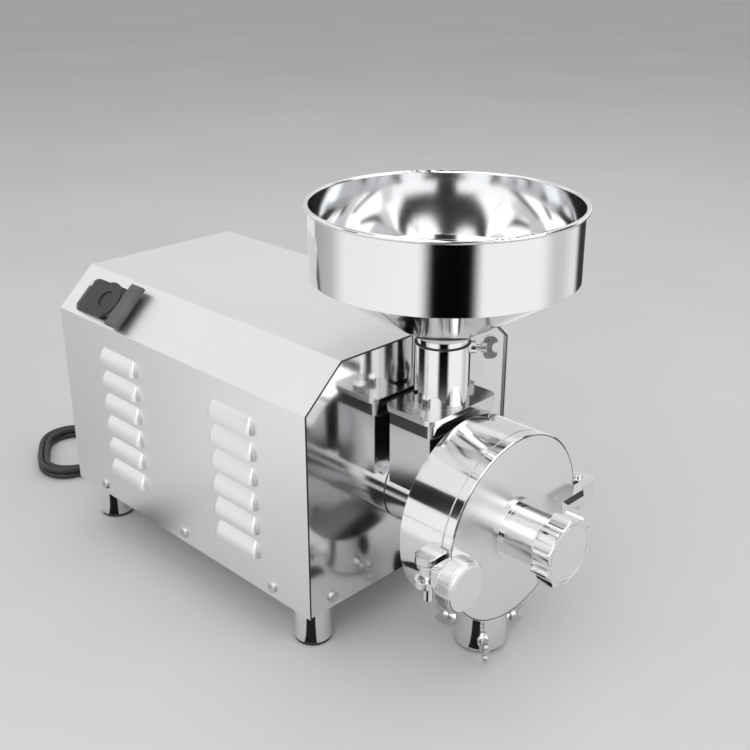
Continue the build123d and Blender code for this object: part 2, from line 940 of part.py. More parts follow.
def feed_tube():
    half_length = plate_length / 2
    half = plate_width / 2
    plate = block((feed_x - half_length, feed_x + half_length), (-half, half), (plate_low_z, plate_top_z))
    plate = fillet(plate.edges().filter_by(Axis.Z), plate_corner)
    top = foot_height + feed_tube_top
    tube = rod("z", feed_tube_radius, (plate_top_z, top), (feed_x, 0))
    inner = feed_tube_radius - feed_tube_wall
    room = rod("z", inner, (plate_top_z, top), (feed_x, 0))
    boss = hopper_screw_place() * thumb_boss(feed_tube_radius)
    boss = boss - room
    throat = rod("z", spout_outer - hopper_seat, (plate_low_z, plate_top_z), (feed_x, 0))
    body = plate + (tube + boss - room) - throat
    for side in (-1, 1):
        centre = (feed_x, side * feed_bolt_side)
        body = body - rod("z", bolt_radius + stud_play, (plate_low_z, plate_top_z), centre)
    return body - hopper_screw_place() * thumb_hole(feed_tube_radius)


def feed_bolts():
    bolts = []
    low = foot_height + feed_box_top + feed_bolt_lift
    for side in (-1, 1):
        centre = (feed_x, side * feed_bolt_side)
        head = hexagon("z", nut_flats, (plate_top_z, plate_top_z + bolt_head_height), centre)
        bolts.append(head + rod("z", bolt_radius, (low, plate_top_z), centre))
    return bolts


def hopper():
    """Bowl, cone and spout from one turned outline, with a rolled rim."""
    top = foot_height + hopper_top
    shoulder = foot_height + hopper_shoulder
    cone = foot_height + hopper_cone_low
    low = plate_top_z + seat_gap
    outline = Polyline(
        (hopper_radius, 0, top - hopper_bead / 2), (hopper_radius, 0, shoulder),
        (spout_outer, 0, cone), (spout_outer, 0, low),
        (spout_outer - hopper_sheet, 0, low), (spout_outer - hopper_sheet, 0, cone + hopper_cone_offset),
        (hopper_radius - hopper_sheet, 0, shoulder + hopper_cone_offset),
        (hopper_radius - hopper_sheet, 0, top - hopper_bead / 2), close=True)
    wall = revolve(make_face(outline), Axis.Z, 360)
    bead_face = Plane.XZ * Pos(hopper_radius + hopper_bead / 2 - hopper_sheet, top - hopper_bead / 2) \
        * Circle(hopper_bead / 2)
    bead = revolve(bead_face, Axis.Z, 360)
    return Pos(feed_x, 0, 0) * (wall + bead)


def hopper_screw_place():
    return Pos(feed_x, 0, foot_height + thumb_screw_height) * Rot(0, 0, thumb_screw_turn) * Rot(0, 90, 0)


def thumb_boss(surface):
    """The welded nut that a thumb screw turns in, drawn along +Z from the tube's surface."""
    middle = surface + boss_height / 2 - boss_sink
    return Pos(0, 0, middle) * Cylinder(boss_radius, boss_height + 2 * boss_sink)


def thumb_hole(surface):
    return Pos(0, 0, surface) * Cylinder(thumb_radius + running_play, 4 * boss_height)


def thumb_screw(surface, tip):
    """A wing screw along +Z: shank from its tip to the collar, then the wing."""
    collar_low = surface + boss_height + thumb_stand_off
    shank = Pos(0, 0, (tip + collar_low) / 2) * Cylinder(thumb_radius, collar_low - tip)
    collar_middle = collar_low + thumb_collar_height / 2
    collar = Pos(0, 0, collar_middle) * Cylinder(thumb_collar_radius, thumb_collar_height)
    low = collar_low + wing_lap
    outline = Plane.XZ * Pos(0, low + wing_height / 2) * RectangleRounded(wing_span, wing_height, wing_corner)
    notch = Plane.XZ * Pos(0, low + wing_height) * Circle(wing_notch_radius)
    wing = extrude(outline - notch, wing_thickness / 2, both=True)
    return shank + collar + wing


def hopper_thumbscrew():
    return hopper_screw_place() * thumb_screw(feed_tube_radius, spout_outer + body_play)


def drum():
    ends = (drum_back_x, drum_front_x)
    body = shaft(drum_radius, ends)
    lugs = []
    for side in (-1, 1):
        low = clamp_z + side * (lug_gap + lug_thickness) / 2 + side * lug_thickness / 2 - lug_thickness / 2
        end_radius = (lug_back + lug_front) / 2
        end_side = lug_reach - end_radius
        end_x = drum_front_x + (lug_front - lug_back) / 2
        lug = block((drum_front_x - lug_back, drum_front_x + lug_front), (-end_side, -lug_root),
                    (low, low + lug_thickness))
        lugs.append(lug + rod("z", end_radius, (low, low + lug_thickness), (end_x, -end_side)))
    body = body + lugs
    in_front = (drum_front_x, drum_front_x + lug_front + overcut)
    body = body - shaft(drum_radius + cover_clearance, in_front)
    half = lug_knuckle_height / 2
    arm = block((hinge_x - drum_arm_back, hinge_x - drum_arm_front), (drum_arm_root, hinge_side),
                (hinge_z - half, hinge_z + half))
    knuckle = rod("z", lug_knuckle_radius, (hinge_z - half, hinge_z + half), (hinge_x, hinge_side))
    body = body + arm + knuckle
    body = body - shaft(drum_radius - drum_wall, (drum_back_x + drum_back, drum_front_x))
    body = body - shaft(neck_bore, (drum_back_x, drum_back_x + drum_back))
    chute_radius = outlet_radius - outlet_wall + chute_play
    body = body - rod("z", chute_radius, (foot_height, axis_z - chute_drop), (outlet_axis_x, 0))
    pin_ends = (hinge_z - lug_knuckle_height, hinge_z + lug_knuckle_height)
    body = body - rod("z", hinge_pin_radius, pin_ends, (hinge_x, hinge_side))
    post_ends = (foot_height + post_bottom, foot_height + post_top)
    return body - rod("z", post_radius, post_ends, (post_x, -post_side))


def rotor_disc():
    disc = shaft(stone_radius, (rotor_back_x, rotor_front_x))
    disc = disc - shaft(spindle_radius, (rotor_back_x, rotor_front_x))
    window = rod("x", window_radius, (rotor_back_x, rotor_front_x), (0, window_circle))
    return disc - around_shaft(window, window_count)


def rotating_stone():
    return ring(stone_radius, stone_eye, (rotor_front_x, stone_front_x))


def spindle_nut():
    ends = (rotor_front_x, rotor_front_x + spindle_nut_thickness)
    body = hexagon("x", spindle_nut_flats, ends, (0, axis_z))
    return body - shaft(spindle_thread_radius, ends)


def standing_stone():
    return ring(stone_radius, standing_stone_eye, (standing_back_x, standing_front_x))


def adjust_spindle():
    """The plate behind the standing stone, its two guide pins and the spindle to the knob."""
    ends = (standing_front_x, back_plate_front_x)
    plate = shaft(back_plate_radius, ends)
    pin_end = cover_back_x + guide_reach
    pins = []
    for side in (-1, 1):
        centre = (side * guide_circle, axis_z)
        pins.append(rod("x", guide_radius, (back_plate_front_x, pin_end), centre))
    return plate + pins + shaft(adjust_radius, (back_plate_front_x, knob_back_x + adjust_end))


def cover():
    ends = (cover_back_x, cover_front_x)
    disc = rod("x", drum_radius, ends, (0, axis_z))
    disc = chamfer(disc.edges().group_by(Axis.X)[-1], cover_edge)
    disc = disc - shaft(adjust_radius + running_play, ends)
    for side in (-1, 1):
        centre = (side * guide_circle, axis_z)
        depth = guide_reach + adjust_travel + guide_spare
        disc = disc - rod("x", guide_radius + running_play, (cover_back_x, cover_back_x + depth), centre)
    return disc


def cover_gasket():
    outer = drum_radius - gasket_inset
    return ring(outer, outer - gasket_width, (drum_front_x + running_play, cover_back_x))


def adjust_hub():
    body = shaft(hub_radius, (cover_front_x, hub_front_x))
    body = body + shaft(hub_ring_radius, (cover_front_x, cover_front_x + hub_ring_thickness))
    body = chamfer(body.edges().group_by(Axis.X)[-1], cover_edge)
    return body - shaft(adjust_radius + running_play, (cover_front_x, hub_front_x))


def adjust_knob():
    """A star knob with hollow flutes between its points, a flat face and a fine line near its rim."""
    flute_circle = knob_radius - flute_depth + flute_radius
    plan = Circle(knob_radius)
    for k in range(knob_flutes):
        turn = radians(360.0 * (k + 0.5) / knob_flutes)
        plan = plan - Pos(flute_circle * cos(turn), flute_circle * sin(turn)) * Circle(flute_radius)
    body = extrude(plan, knob_thickness)
    body = fillet(body.edges().filter_by(Axis.Z), flute_edge)
    rims = body.edges().group_by(Axis.Z)
    body = fillet(rims[-1] + rims[0], knob_edge)
    groove = Cylinder(knob_groove_radius, 2 * knob_groove)
    groove = groove - Cylinder(knob_groove_radius - knob_groove_width, 2 * knob_groove)
    body = body - Pos(0, 0, knob_thickness) * groove
    body = Pos(knob_back_x, 0, axis_z) * Rot(0, 90, 0) * body
    return body - shaft(adjust_radius + running_play, (knob_back_x, knob_back_x + adjust_end))


def clamp_post():
    """The cross post between the drum's lugs, with the nut for the hand screw in its middle."""
    ends = (foot_height + post_bottom, foot_height + post_top)
    post = rod("z", post_radius, ends, (post_x, -post_side))
    gap = lug_gap / 2 - body_play
    block_ends = (clamp_z - gap, clamp_z + gap)
    post = post + rod("z", post_block_radius, block_ends, (post_x, -post_side))
    hole_ends = (post_x - post_block_radius - overcut, post_x + post_block_radius + overcut)
    return post - rod("x", clamp_screw_radius + clamp_play, hole_ends, (-post_side, clamp_z))


def ear_front_x():
    return cover_front_x + ear_thickness


def clamp_ear():
    ends = (cover_front_x, ear_front_x())
    ear = block(ends, (-ear_reach, -ear_inner), (foot_height + ear_low, foot_height + ear_high))
    ear = fillet(ear.edges().filter_by(Axis.X), ear_corner)
    return ear - rod("x", clamp_screw_radius + clamp_play, ends, (-post_side, clamp_z))


def clamp_washer():
    low = ear_front_x() + washer_play
    ends = (low, low + washer_thickness)
    centre = (-post_side, clamp_z)
    return rod("x", washer_radius, ends, centre) - rod("x", clamp_screw_radius + running_play, ends, centre)


def clamp_knob_back():
    return ear_front_x() + washer_thickness + 2 * washer_play


def clamp_screw():
    tip = drum_front_x + gasket_thickness / 2 - clamp_screw_engaged + clamp_play
    ends = (tip, clamp_knob_back() + clamp_knob_thickness * clamp_seat_share)
    return rod("x", clamp_screw_radius, ends, (-post_side, clamp_z))


def clamp_knob():
    low = clamp_knob_back()
    ends = (low, low + clamp_knob_thickness)
    centre = (-post_side, clamp_z)
    knob = rod("x", clamp_knob_radius, ends, centre)
    rims = knob.edges().group_by(Axis.X)
    knob = fillet(rims[-1], clamp_knob_edge)
    knob = fillet(knob.edges().group_by(Axis.X)[0], clamp_knob_back_edge)
    return knob - rod("x", clamp_screw_radius, (low, low + clamp_knob_thickness * clamp_seat_share), centre)


def knuckle_ends(side):
    """The low and high end of the cover's knuckle above or below the drum's one."""
    near = lug_knuckle_height / 2 + body_play
    ends = (hinge_z + side * near, hinge_z + side * (near + knuckle_height))
    return (min(ends), max(ends))


def hinge_arm():
    """The cover's two knuckles, joined by a plate in front of the drum's knuckle."""
    low = knuckle_ends(-1)[0]
    high = knuckle_ends(1)[1]
    plate_low_x = hinge_x + knuckle_radius + body_play
    plate_ends = (plate_low_x, plate_low_x + hinge_arm_thickness)
    corner_side = hinge_side + knuckle_radius - hinge_arm_thickness
    corner = rod("z", hinge_arm_thickness, (low, high), (plate_low_x, corner_side))
    corner = corner & block(plate_ends, (corner_side, hinge_side + knuckle_radius), (low, high))
    body = block(plate_ends, (hinge_block_outer, corner_side), (low, high)) + corner
    for side in (-1, 1):
        ends = knuckle_ends(side)
        eye = rod("z", knuckle_radius, ends, (hinge_x, hinge_side))
        neck = block((hinge_x, plate_low_x), (hinge_side - knuckle_radius, hinge_side + knuckle_radius), ends)
        body = body + eye + neck
    hole = rod("z", hinge_pin_radius + running_play, (low, high), (hinge_x, hinge_side))
    return body - hole


def hinge_block():
    """The block screwed to the cover's face that carries the hinge arm."""
    ends = (cover_front_x, cover_front_x + hinge_block_thickness)
    half = hinge_block_height / 2
    body = block(ends, (hinge_block_inner, hinge_block_outer), (axis_z - half, axis_z + half))
    return chamfer(body.edges().group_by(Axis.X)[-1], hinge_block_bevel)


def hinge_pin():
    low = knuckle_ends(-1)[0]
    high = knuckle_ends(1)[1]
    pin = rod("z", hinge_pin_radius, (low, high + body_play), (hinge_x, hinge_side))
    head_low = high + body_play
    head = rod("z", pin_head_radius, (head_low, head_low + pin_head_height), (hinge_x, hinge_side))
    return pin + head


def outlet_screw_places():
    place = Pos(outlet_axis_x, 0, outlet_screw_height)
    return [place * Rot(0, 0, turn) * Rot(0, 90, 0) for turn in outlet_screw_turns]


def outlet_spout():
    top = axis_z - spout_drop
    tube = rod("z", outlet_radius, (outlet_floor_gap, top), (outlet_axis_x, 0))
    drum_ends = (drum_back_x - outlet_radius, drum_front_x + outlet_radius)
    tube = tube - shaft(drum_radius + running_play, drum_ends)
    for place in outlet_screw_places():
        tube = tube + place * thumb_boss(outlet_radius)
    tube = tube - rod("z", outlet_radius - outlet_wall, (outlet_floor_gap, top), (outlet_axis_x, 0))
    for place in outlet_screw_places():
        tube = tube - place * thumb_hole(outlet_radius)
    return tube


def outlet_thumbscrew(place):
    return place * thumb_screw(outlet_radius, outlet_radius - outlet_wall + boss_sink)


def contact_form(play, top):
    """The contact block under the shoulder, which the shoulder is cut out for."""
    x = switch_axis_x
    up = switch_axis_up
    return block((x - contact_length / 2 - play, x + contact_length / 2 + play),
                 (up - contact_width / 2 - play, up + contact_width / 2 + play), (-contact_depth, top))


def switch_screw_places():
    x = switch_rear + switch_screw_inset_x
    far_x = switch_rear + switch_length - switch_screw_inset_x
    up = switch_low + switch_width - switch_screw_inset_up
    low = switch_low + switch_screw_inset_up
    return [(x, up), (far_x, low)]


def switch_plan(start):
    far = switch_rear + switch_length
    face = Pos((start + far) / 2, switch_low + switch_width / 2) * Rectangle(far - start, switch_width)
    return face


def switch_base():
    plate = extrude(switch_plan(switch_rear), switch_plate)
    plate = chamfer(plate.edges().filter_by(Axis.Z), switch_corner)
    plate = plate - contact_form(screw_play, switch_plate)
    for place in switch_screw_places():
        plate = plate - rod("z", switch_shank_radius + screw_play, (0, switch_plate), place)
    return on_shoulder(plate)


def switch_body():
    body = extrude(switch_plan(switch_rear + switch_step), switch_body_height)
    edges = body.edges().filter_by(Axis.Z)
    body = Pos(0, 0, switch_plate) * chamfer(edges, switch_corner)
    top = switch_plate + switch_body_height
    body = body + contact_form(0, top)
    stem_ends = (-contact_depth / 2, top)
    body = body - rod("z", stem_radius + running_play, stem_ends, (switch_axis_x, switch_axis_up))
    place = switch_screw_places()[1]
    return on_shoulder(body - rod("z", switch_screw_radius + switch_screw_clear, (switch_plate, top), place))


def switch_handle():
    low = switch_plate + switch_body_height + body_play
    centre = (switch_axis_x, switch_axis_up)
    hub = rod("z", handle_hub_radius, (low, low + handle_hub_height), centre)
    web = block((switch_axis_x, handle_bar_x + handle_lap), (switch_axis_up - handle_web_width / 2,
                                                    switch_axis_up + handle_web_width / 2),
                (low, low + handle_web_height))
    bar = block((handle_bar_x, handle_bar_x + handle_bar_width),
                (handle_bar_low, handle_bar_low + handle_bar_length), (low, low + handle_bar_height))
    bar = chamfer(bar.edges().group_by(Axis.Z)[-1], handle_bar_bevel)
    stem = rod("z", stem_radius, (-contact_depth / 2 + handle_lap, low), centre)
    top = low + handle_hub_height
    well = rod("z", hub_cap_radius, (top - hub_cap_depth, top), centre)
    return on_shoulder(hub + web + bar + stem - well)


def switch_cap():
    low = switch_plate + switch_body_height + body_play + handle_hub_height - hub_cap_depth
    centre = (switch_axis_x, switch_axis_up)
    cap = rod("z", hub_cap_radius - hub_cap_play, (low, low + hub_cap_height), centre)
    return on_shoulder(cap)


def switch_screws():
    screws = []
    for x, up in switch_screw_places():
        head = rod("z", switch_screw_radius, (switch_plate, switch_plate + switch_screw_head), (x, up))
        shank = rod("z", switch_shank_radius, (-2 * sheet, switch_plate), (x, up))
        screws.append(on_shoulder(head + shank))
    return screws


def cord_gland():
    """A flanged bush in the rear panel with a tapered nose round the cord."""
    flange_ends = (rear_panel_x - gland_flange, rear_panel_x)
    centre = (gland_side, gland_height)
    bush_end = rear_panel_inner_x + gland_inside
    bush = rod("x", gland_base_radius - gland_step, (rear_panel_x, bush_end), centre)
    flange = rod("x", gland_flange_radius, flange_ends, centre)
    tip = rear_x - gland_reach
    length = flange_ends[0] - tip
    nose = Pos(tip + length / 2, *centre) * Rot(0, 90, 0) * Cone(gland_nose_radius, gland_base_radius, length)
    return bush + flange + nose


def coil_plan(bend):
    """A long round-ended loop in the coil's own frame."""
    return SlotCenterToCenter(2 * coil_half_straight, 2 * bend)


def coil_place():
    return Pos(coil_centre[0], coil_centre[1], 0) * Rot(0, 0, coil_turn)


def cord_coil():
    low = cord_floor - cord_radius
    height = coil_turns_high * cord_diameter
    inner = coil_inner_bend - cord_radius
    outer = inner + coil_turns_wide * cord_diameter
    plan = coil_plan(outer) - coil_plan(inner)
    return coil_place() * (Pos(0, 0, low) * extrude(plan, height))


def coil_outer():
    low = cord_floor - cord_radius - cord_diameter
    outer = coil_inner_bend - cord_radius + coil_turns_wide * cord_diameter
    return coil_place() * (Pos(0, 0, low) * extrude(coil_plan(outer), 4 * cord_diameter))


def cord_radii(points):
    """The arc at each corner of a route: as large as its two runs allow."""
    radii = []
    for before, here, after in zip(points, points[1:], points[2:]):
        first = Vector(*here) - Vector(*before)
        second = Vector(*after) - Vector(*here)
        turn = radians(first.get_angle(second))
        radii.append(bend_share * min(first.length, second.length) / tan(turn / 2))
    return radii


def cord_tube(points, name):
    """The cord's tube along straight runs joined by tangent arcs, and its printed radii and volume."""
    radii = cord_radii(points)
    path = FilletPolyline(*points, radius=radii)
    start = Vector(*points[0])
    heading = Vector(*points[1]) - start
    tube = sweep(Plane(origin=start, z_dir=heading) * Circle(cord_radius), path=path)
    expected = pi * cord_radius ** 2 * path.length
    print(name, "length", round(path.length, 1), "radii", [round(value, 1) for value in radii],
          "volume ratio", round(tube.volume / expected, 4))
    return tube


def cord_lead():
    return cord_tube(lead_points, "cord_lead") - coil_outer()


def cord_tail():
    return cord_tube(tail_points, "cord_tail") - coil_outer()


def cord_plug():
    """A moulded mains plug lying on the floor, with two blades and a round earth pin."""
    end = Vector(*tail_points[-1])
    before = Vector(*tail_points[-2])
    sleeve = Cone(plug_nose_radius, plug_sleeve_radius, plug_sleeve)
    body_low = plug_sleeve
    plan = RectangleRounded(2 * plug_body_half_width, 2 * plug_radius, plug_corner)
    body = Pos(0, 0, body_low) * extrude(plan, plug_body_length)
    body = fillet(body.edges().group_by(Axis.Z)[0], plug_edge)
    face = body_low + plug_body_length
    plug = Pos(0, 0, plug_sleeve / 2) * sleeve + body
    middle = face + (blade_length - blade_root) / 2
    blade = Pos(0, 0, middle) * Box(blade_thickness, blade_width, blade_length + blade_root)
    for side in (-1, 1):
        plug = plug + Pos(side * blade_spacing / 2, blade_lift, 0) * blade
    pin = Pos(0, -earth_pin_drop, middle) * Cylinder(earth_pin_radius, blade_length + blade_root)
    plug = plug + pin
    return Plane(origin=end, z_dir=end - before, x_dir=(end - before).cross(Vector(0, 0, 1))) * plug


def all_parts():
    parts = {
        "cabinet_shell": cabinet_shell(),
        "front_panel": front_panel(),
        "rear_panel": rear_panel(),
        "base_tray": base_tray(),
        "feet": [foot(x, y) for x, y in foot_centres()],
        "foot_pads": foot_pads(),
        "cabinet_screws": cabinet_screws(),
        "motor_frame": motor_frame(),
        "motor_stator": motor_stator(),
        "motor_end_shields": [end_shield(ends) for ends in shield_spans()],
        "motor_bearings": motor_bearings(),
        "motor_rotor": motor_rotor(),
        "motor_fan": motor_fan(),
        "fan_cowl": fan_cowl(),
        "base_bolts": base_bolts(),
        "terminal_box": terminal_box(),
        "run_capacitor": [run_capacitor(), capacitor_strap()],
        "coupling_hubs": coupling_hubs(),
        "coupling_spider": coupling_spider(),
        "bearing_housing": bearing_housing(),
        "spindle_bearings": spindle_bearings(),
        "shaft_seal": shaft_seal(),
        "mill_spindle": mill_spindle(),
        "neck_housing": neck_housing(),
        "feed_screw": feed_screw(),
        "feed_collar": feed_collar(),
        "feed_tube": feed_tube(),
        "feed_bolts": feed_bolts(),
        "hopper": hopper(),
        "hopper_thumbscrew": hopper_thumbscrew(),
        "drum": drum(),
        "rotor_disc": rotor_disc(),
        "rotating_stone": rotating_stone(),
        "spindle_nut": spindle_nut(),
        "standing_stone": standing_stone(),
        "adjust_spindle": adjust_spindle(),
        "adjust_hub": adjust_hub(),
        "adjust_knob": adjust_knob(),
        "cover": cover(),
        "cover_gasket": cover_gasket(),
        "clamp_post": clamp_post(),
        "clamp_ear": clamp_ear(),
        "clamp_washer": clamp_washer(),
        "clamp_hand_screw": clamp_screw() + clamp_knob(),
        "hinge_arm": [hinge_arm(), hinge_block()],
        "hinge_pin": hinge_pin(),
        "outlet_spout": outlet_spout(),
        "switch_base": switch_base(),
        "switch_body": switch_body(),
        "switch_handle": switch_handle(),
        "switch_cap": switch_cap(),
        "switch_screws": switch_screws(),
        "cord_gland": cord_gland(),
        "cord_lead": cord_lead(),
        "cord_coil": cord_coil(),
        "cord_tail": cord_tail(),
        "cord_plug": cord_plug(),
    }
    for number, place in enumerate(outlet_screw_places(), start=1):
        parts[f"outlet_thumbscrew_{number}"] = outlet_thumbscrew(place)
    return parts


os.makedirs("parts", exist_ok=True)
for node, shape in all_parts().items():
    solid = Compound(children=shape) if isinstance(shape, list) else shape
    export_step(solid, f"parts/{node}.step")
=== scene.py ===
import math
import bmesh
import bpy
from mathutils import Matrix, Vector


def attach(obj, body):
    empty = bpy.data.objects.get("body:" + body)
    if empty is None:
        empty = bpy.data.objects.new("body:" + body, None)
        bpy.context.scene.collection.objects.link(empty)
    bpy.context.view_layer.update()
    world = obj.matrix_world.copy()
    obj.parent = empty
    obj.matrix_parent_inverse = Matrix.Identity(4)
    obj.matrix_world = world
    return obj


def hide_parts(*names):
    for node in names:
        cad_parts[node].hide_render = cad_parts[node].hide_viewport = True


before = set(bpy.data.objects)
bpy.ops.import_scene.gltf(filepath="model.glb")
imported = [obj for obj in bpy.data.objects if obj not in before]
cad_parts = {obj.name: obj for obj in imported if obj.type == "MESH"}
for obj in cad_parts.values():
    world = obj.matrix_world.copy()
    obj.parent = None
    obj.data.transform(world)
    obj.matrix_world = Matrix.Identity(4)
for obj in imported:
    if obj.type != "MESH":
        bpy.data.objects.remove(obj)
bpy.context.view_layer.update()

# Places in metres, in the frame of the solids
AXIS_Z = 0.139
FEED_X = 0.142
OUTLET_X = 0.201
CLAMP_Y = -0.1035
TUBE_TOP_Z = 0.2965
REAR_PANEL_X = -0.2918
GLAND_PLACE = (0.044, 0.080)

# Lines that turned pieces are spun round: Y and Z of a line along X, X and Y of an upright one
DRIVE_LINE = (0.0, AXIS_Z)
CLAMP_LINE = (CLAMP_Y, AXIS_Z)
FEED_LINE = (FEED_X, 0.0)
OUTLET_LINE = (OUTLET_X, 0.0)

# Camera: its place, its angles in degrees, its lens and sensor in millimetres
CAMERA_PLACE = (0.744, -0.6945, 0.6543)
CAMERA_AZIMUTH = 44.77
CAMERA_ELEVATION = 23.106
CAMERA_LENS = 51.84
CAMERA_SENSOR = 36.0

# Mains cord: its size, how finely it is drawn, and the points of its route before and after the coil
CORD_DIAMETER = 0.0072
CORD_FLOOR = 0.0038
CORD_ROUNDNESS = 5
CORD_STEPS = 6
LEAD_POINTS = (
    (-0.320, 0.044, 0.080),
    (-0.357, 0.044, 0.080),
    (-0.381, 0.020, 0.060),
    (-0.379, -0.020, 0.025),
    (-0.364, -0.062, 0.0038),
)
TAIL_POINTS = (
    (-0.474, -0.014, 0.0038),
    (-0.462, 0.020, 0.013),
    (-0.451, 0.052, 0.013),
)

# The coil is a long loop: two straights and two half circles, with points at even steps of a turn
COIL_CENTRE = (-0.428, -0.077)
COIL_TURN = math.radians(148.0)
COIL_HALF_STRAIGHT = 0.026
COIL_INNER_BEND = 0.031
COIL_TURNS = 3.5
COIL_STEPS = 16

# Where each turn of the coil lies, in cord widths outward and upward, and the last share of a turn, in which
# the cord moves over to the next place. The smooth line runs inside its points, which lie wider for it.
COIL_PLAN = ((1, 0), (0, 0), (0, 1), (1, 1))
COIL_CHANGE = 0.3
COIL_WIDENING = 1.015

# Mains plug: distances along it from the cord's end
PLUG_FACE = 0.048
PLUG_FACE_PLAY = 0.0003
PLUG_RIBS = (0.020, 0.034)
PLUG_RIB_PITCH = 0.0028

# The cut edge of the cabinet's sheet round the front panel, and the line at the cover's edge: both are
# painted shade
SHELL_FRONT_X = 0.109
SHELL_EDGE = 0.0006
COVER_SEAM_SHADE_RADIUS = 0.0893

# The switch handle's grip, from here toward the front, with the pitch of its fine lines
GRIP_START_X = -0.1965
GRIP_LINE_PITCH = 0.0026

# The clamp knob's ridges: their pitch in metres and their depth in microns
CLAMP_RIDGES = (0.0016, 250)

# Steps round the studio's rings and cards, the strain relief, and the black ring of painted shadow and its
# section
RING_STEPS = 96
CARD_STEPS = 8
TURN_STEPS = 40
SHADOW_RING_STEPS = 64
SHADOW_RING_SIDES = 8

# The black ring under the hopper, painted shadow where its spout enters the tube: its middle lies a share of
# its thickness over the tube's edge
SHADOW_RING_RADIUS = 0.0251
SHADOW_RING_THICKNESS = 0.0009
SHADOW_RING_LIFT = 0.6

# The strain relief, as how far behind the rear panel and how far out: a flange, then a taper with grooves.
# A rib's points are shares of its pitch and of the groove's depth, which shrinks toward the tip.
RELIEF_FLANGE = ((0.0, 0.0118), (0.0008, 0.012), (0.0022, 0.012), (0.003, 0.0112))
RELIEF_START = (0.0034, 0.0088)
RELIEF_END = (0.0282, 0.0050)
RELIEF_RIBS = 7
RELIEF_RIB = ((0.0, 1.0), (0.18, 0.0), (0.72, 0.0), (0.9, 1.0))
RELIEF_GROOVE = 0.0011
RELIEF_SHRINK = 0.5
SMOOTH_ANGLE = 40

# Colours of the finishes
STEEL = (0.86, 0.865, 0.87)
SATIN_STEEL = (0.84, 0.845, 0.85)
MACHINED_STEEL = (0.60, 0.61, 0.62)
ZINC = (0.68, 0.69, 0.70)
BRASS = (0.72, 0.55, 0.28)
# Painted shade in the gap round the front panel
SHELL_GAP_SHADE = (0.07, 0.07, 0.072)
# Painted shade where the cover's face meets its rim
COVER_SEAM_SHADE = (0.09, 0.09, 0.092)
COLLAR_SIDE_DARK = (0.10, 0.105, 0.11)
CAST_GREY = (0.25, 0.26, 0.27)
MOTOR_BLUE = (0.16, 0.20, 0.24)
BLACK_RUBBER = (0.018, 0.018, 0.018)
SPIDER_RED = (0.42, 0.06, 0.04)
BLACK_PLASTIC = (0.018, 0.018, 0.020)
GREY_PLASTIC = (0.085, 0.087, 0.09)
WHITE_PLASTIC = (0.70, 0.70, 0.68)

# Two tones that a finish varies between
HUB_TONES = ((0.016, 0.016, 0.017), (0.03, 0.03, 0.031))
GRIP_TONES = ((0.10, 0.102, 0.105), (0.14, 0.142, 0.145))
STONE_TONES = ((0.20, 0.18, 0.16), (0.52, 0.49, 0.44))
COPPER_TONES = ((0.24, 0.09, 0.03), (0.62, 0.30, 0.13))
PLUG_TONES = ((0.016, 0.016, 0.018), (0.04, 0.04, 0.042))
JACKET_TONES = ((0.012, 0.012, 0.013), (0.035, 0.035, 0.037))
PALE_TONES = ((0.68, 0.68, 0.685), (0.71, 0.71, 0.715))

# How a worn or dusty patch is lighter than the plain colour: a factor and an addition
PLASTIC_WEAR = (1.25, 0.006)
RUBBER_DUST = (1.6, 0.01)

# Brushing, as noise per metre along X, Y and Z: low along the lines and high across them
LINES_ALONG_X = (8.0, 1800.0, 1800.0)
LINES_ALONG_Y = (1800.0, 8.0, 1800.0)
POLISH_UPWARD = (600.0, 600.0, 8.0)
COLLAR_UPWARD = (900.0, 900.0, 8.0)
FOOT_HOOPS = (8.0, 8.0, 900.0)
EVEN_GRAIN = (700.0, 700.0, 700.0)
UNSTRETCHED = (1.0, 1.0, 1.0)
SPUN_SCALE = 1400.0
NOISE_ROUGHNESS = 0.55

# How much of a finish comes from its fine lines or grains, and how much from its slow patches
STREAK_SHARE = 0.6
CLOUD_SHARE = 0.4
GRAIN_SHARE = 0.6
BINDER_SHARE = 0.5

# Relief is given in microns, over edges rounded by a radius in metres
MICRON = 0.000001
EDGE = 0.0006
EDGE_SAMPLES = 4

# A face is taken as square to an axis from this part of its normal on
FACE_NORMAL = 0.9
COLLAR_SIDE_NORMAL = 0.92

# The mix node's sockets for its two colours and for what comes out
MIX_COLOURS = (6, 7)
MIX_RESULT = 2

# Floor and surroundings
FLOOR_SIDES = 96
FLOOR_RADIUS = 14.0
FLOOR_DROP = 0.0005
WORLD_COLOUR = (0.90, 0.90, 0.91)
WORLD_AS_LIGHT = 0.56
WORLD_AS_SEEN = 1.0

# Soft lamps: name, place, width and power
LAMPS = (
    ("key", (0.6, -2.4, 2.0), 2.8, 30.0),
    ("side", (2.4, 0.8, 1.5), 2.3, 15.0),
    ("top", (0.0, 0.4, 2.6), 3.2, 22.0),
)
LAMP_AIM = (0.0, 0.0, 0.2)

# Studio rings, seen only in polished metal. A tone goes with a bearing in degrees: 0 is the near side,
# 90 the front, and the ring starts and ends at the back. It fades in between two radii.
FIRST_BEARING = -90.0
FLOOR_RING = (0.40, 2.6)
FLOOR_RING_FADE = (0.42, 0.62)
FLOOR_RING_HEIGHT = 0.001
FLOOR_TONES = ((-90, 0.4), (-66, 0.5), (-42, 0.95), (20, 1.0), (33, 0.0), (60, 0.0),
               (72, 1.0), (118, 1.0), (140, 0.62), (166, 0.85), (178, 0.04), (192, 0.04), (206, 0.85))
WALL_RING_RADIUS = 3.0
WALL_RING_HEIGHTS = (0.02, 1.9)
WALL_RING_FADE = (0.0, 0.01)
WALL_TONES = ((-90, 0.95), (38, 1.0), (48, 0.05), (62, 0.05), (72, 1.0), (128, 0.95), (138, 0.05),
              (152, 0.05), (165, 0.95), (195, 0.9), (210, 0.72), (262, 0.72))

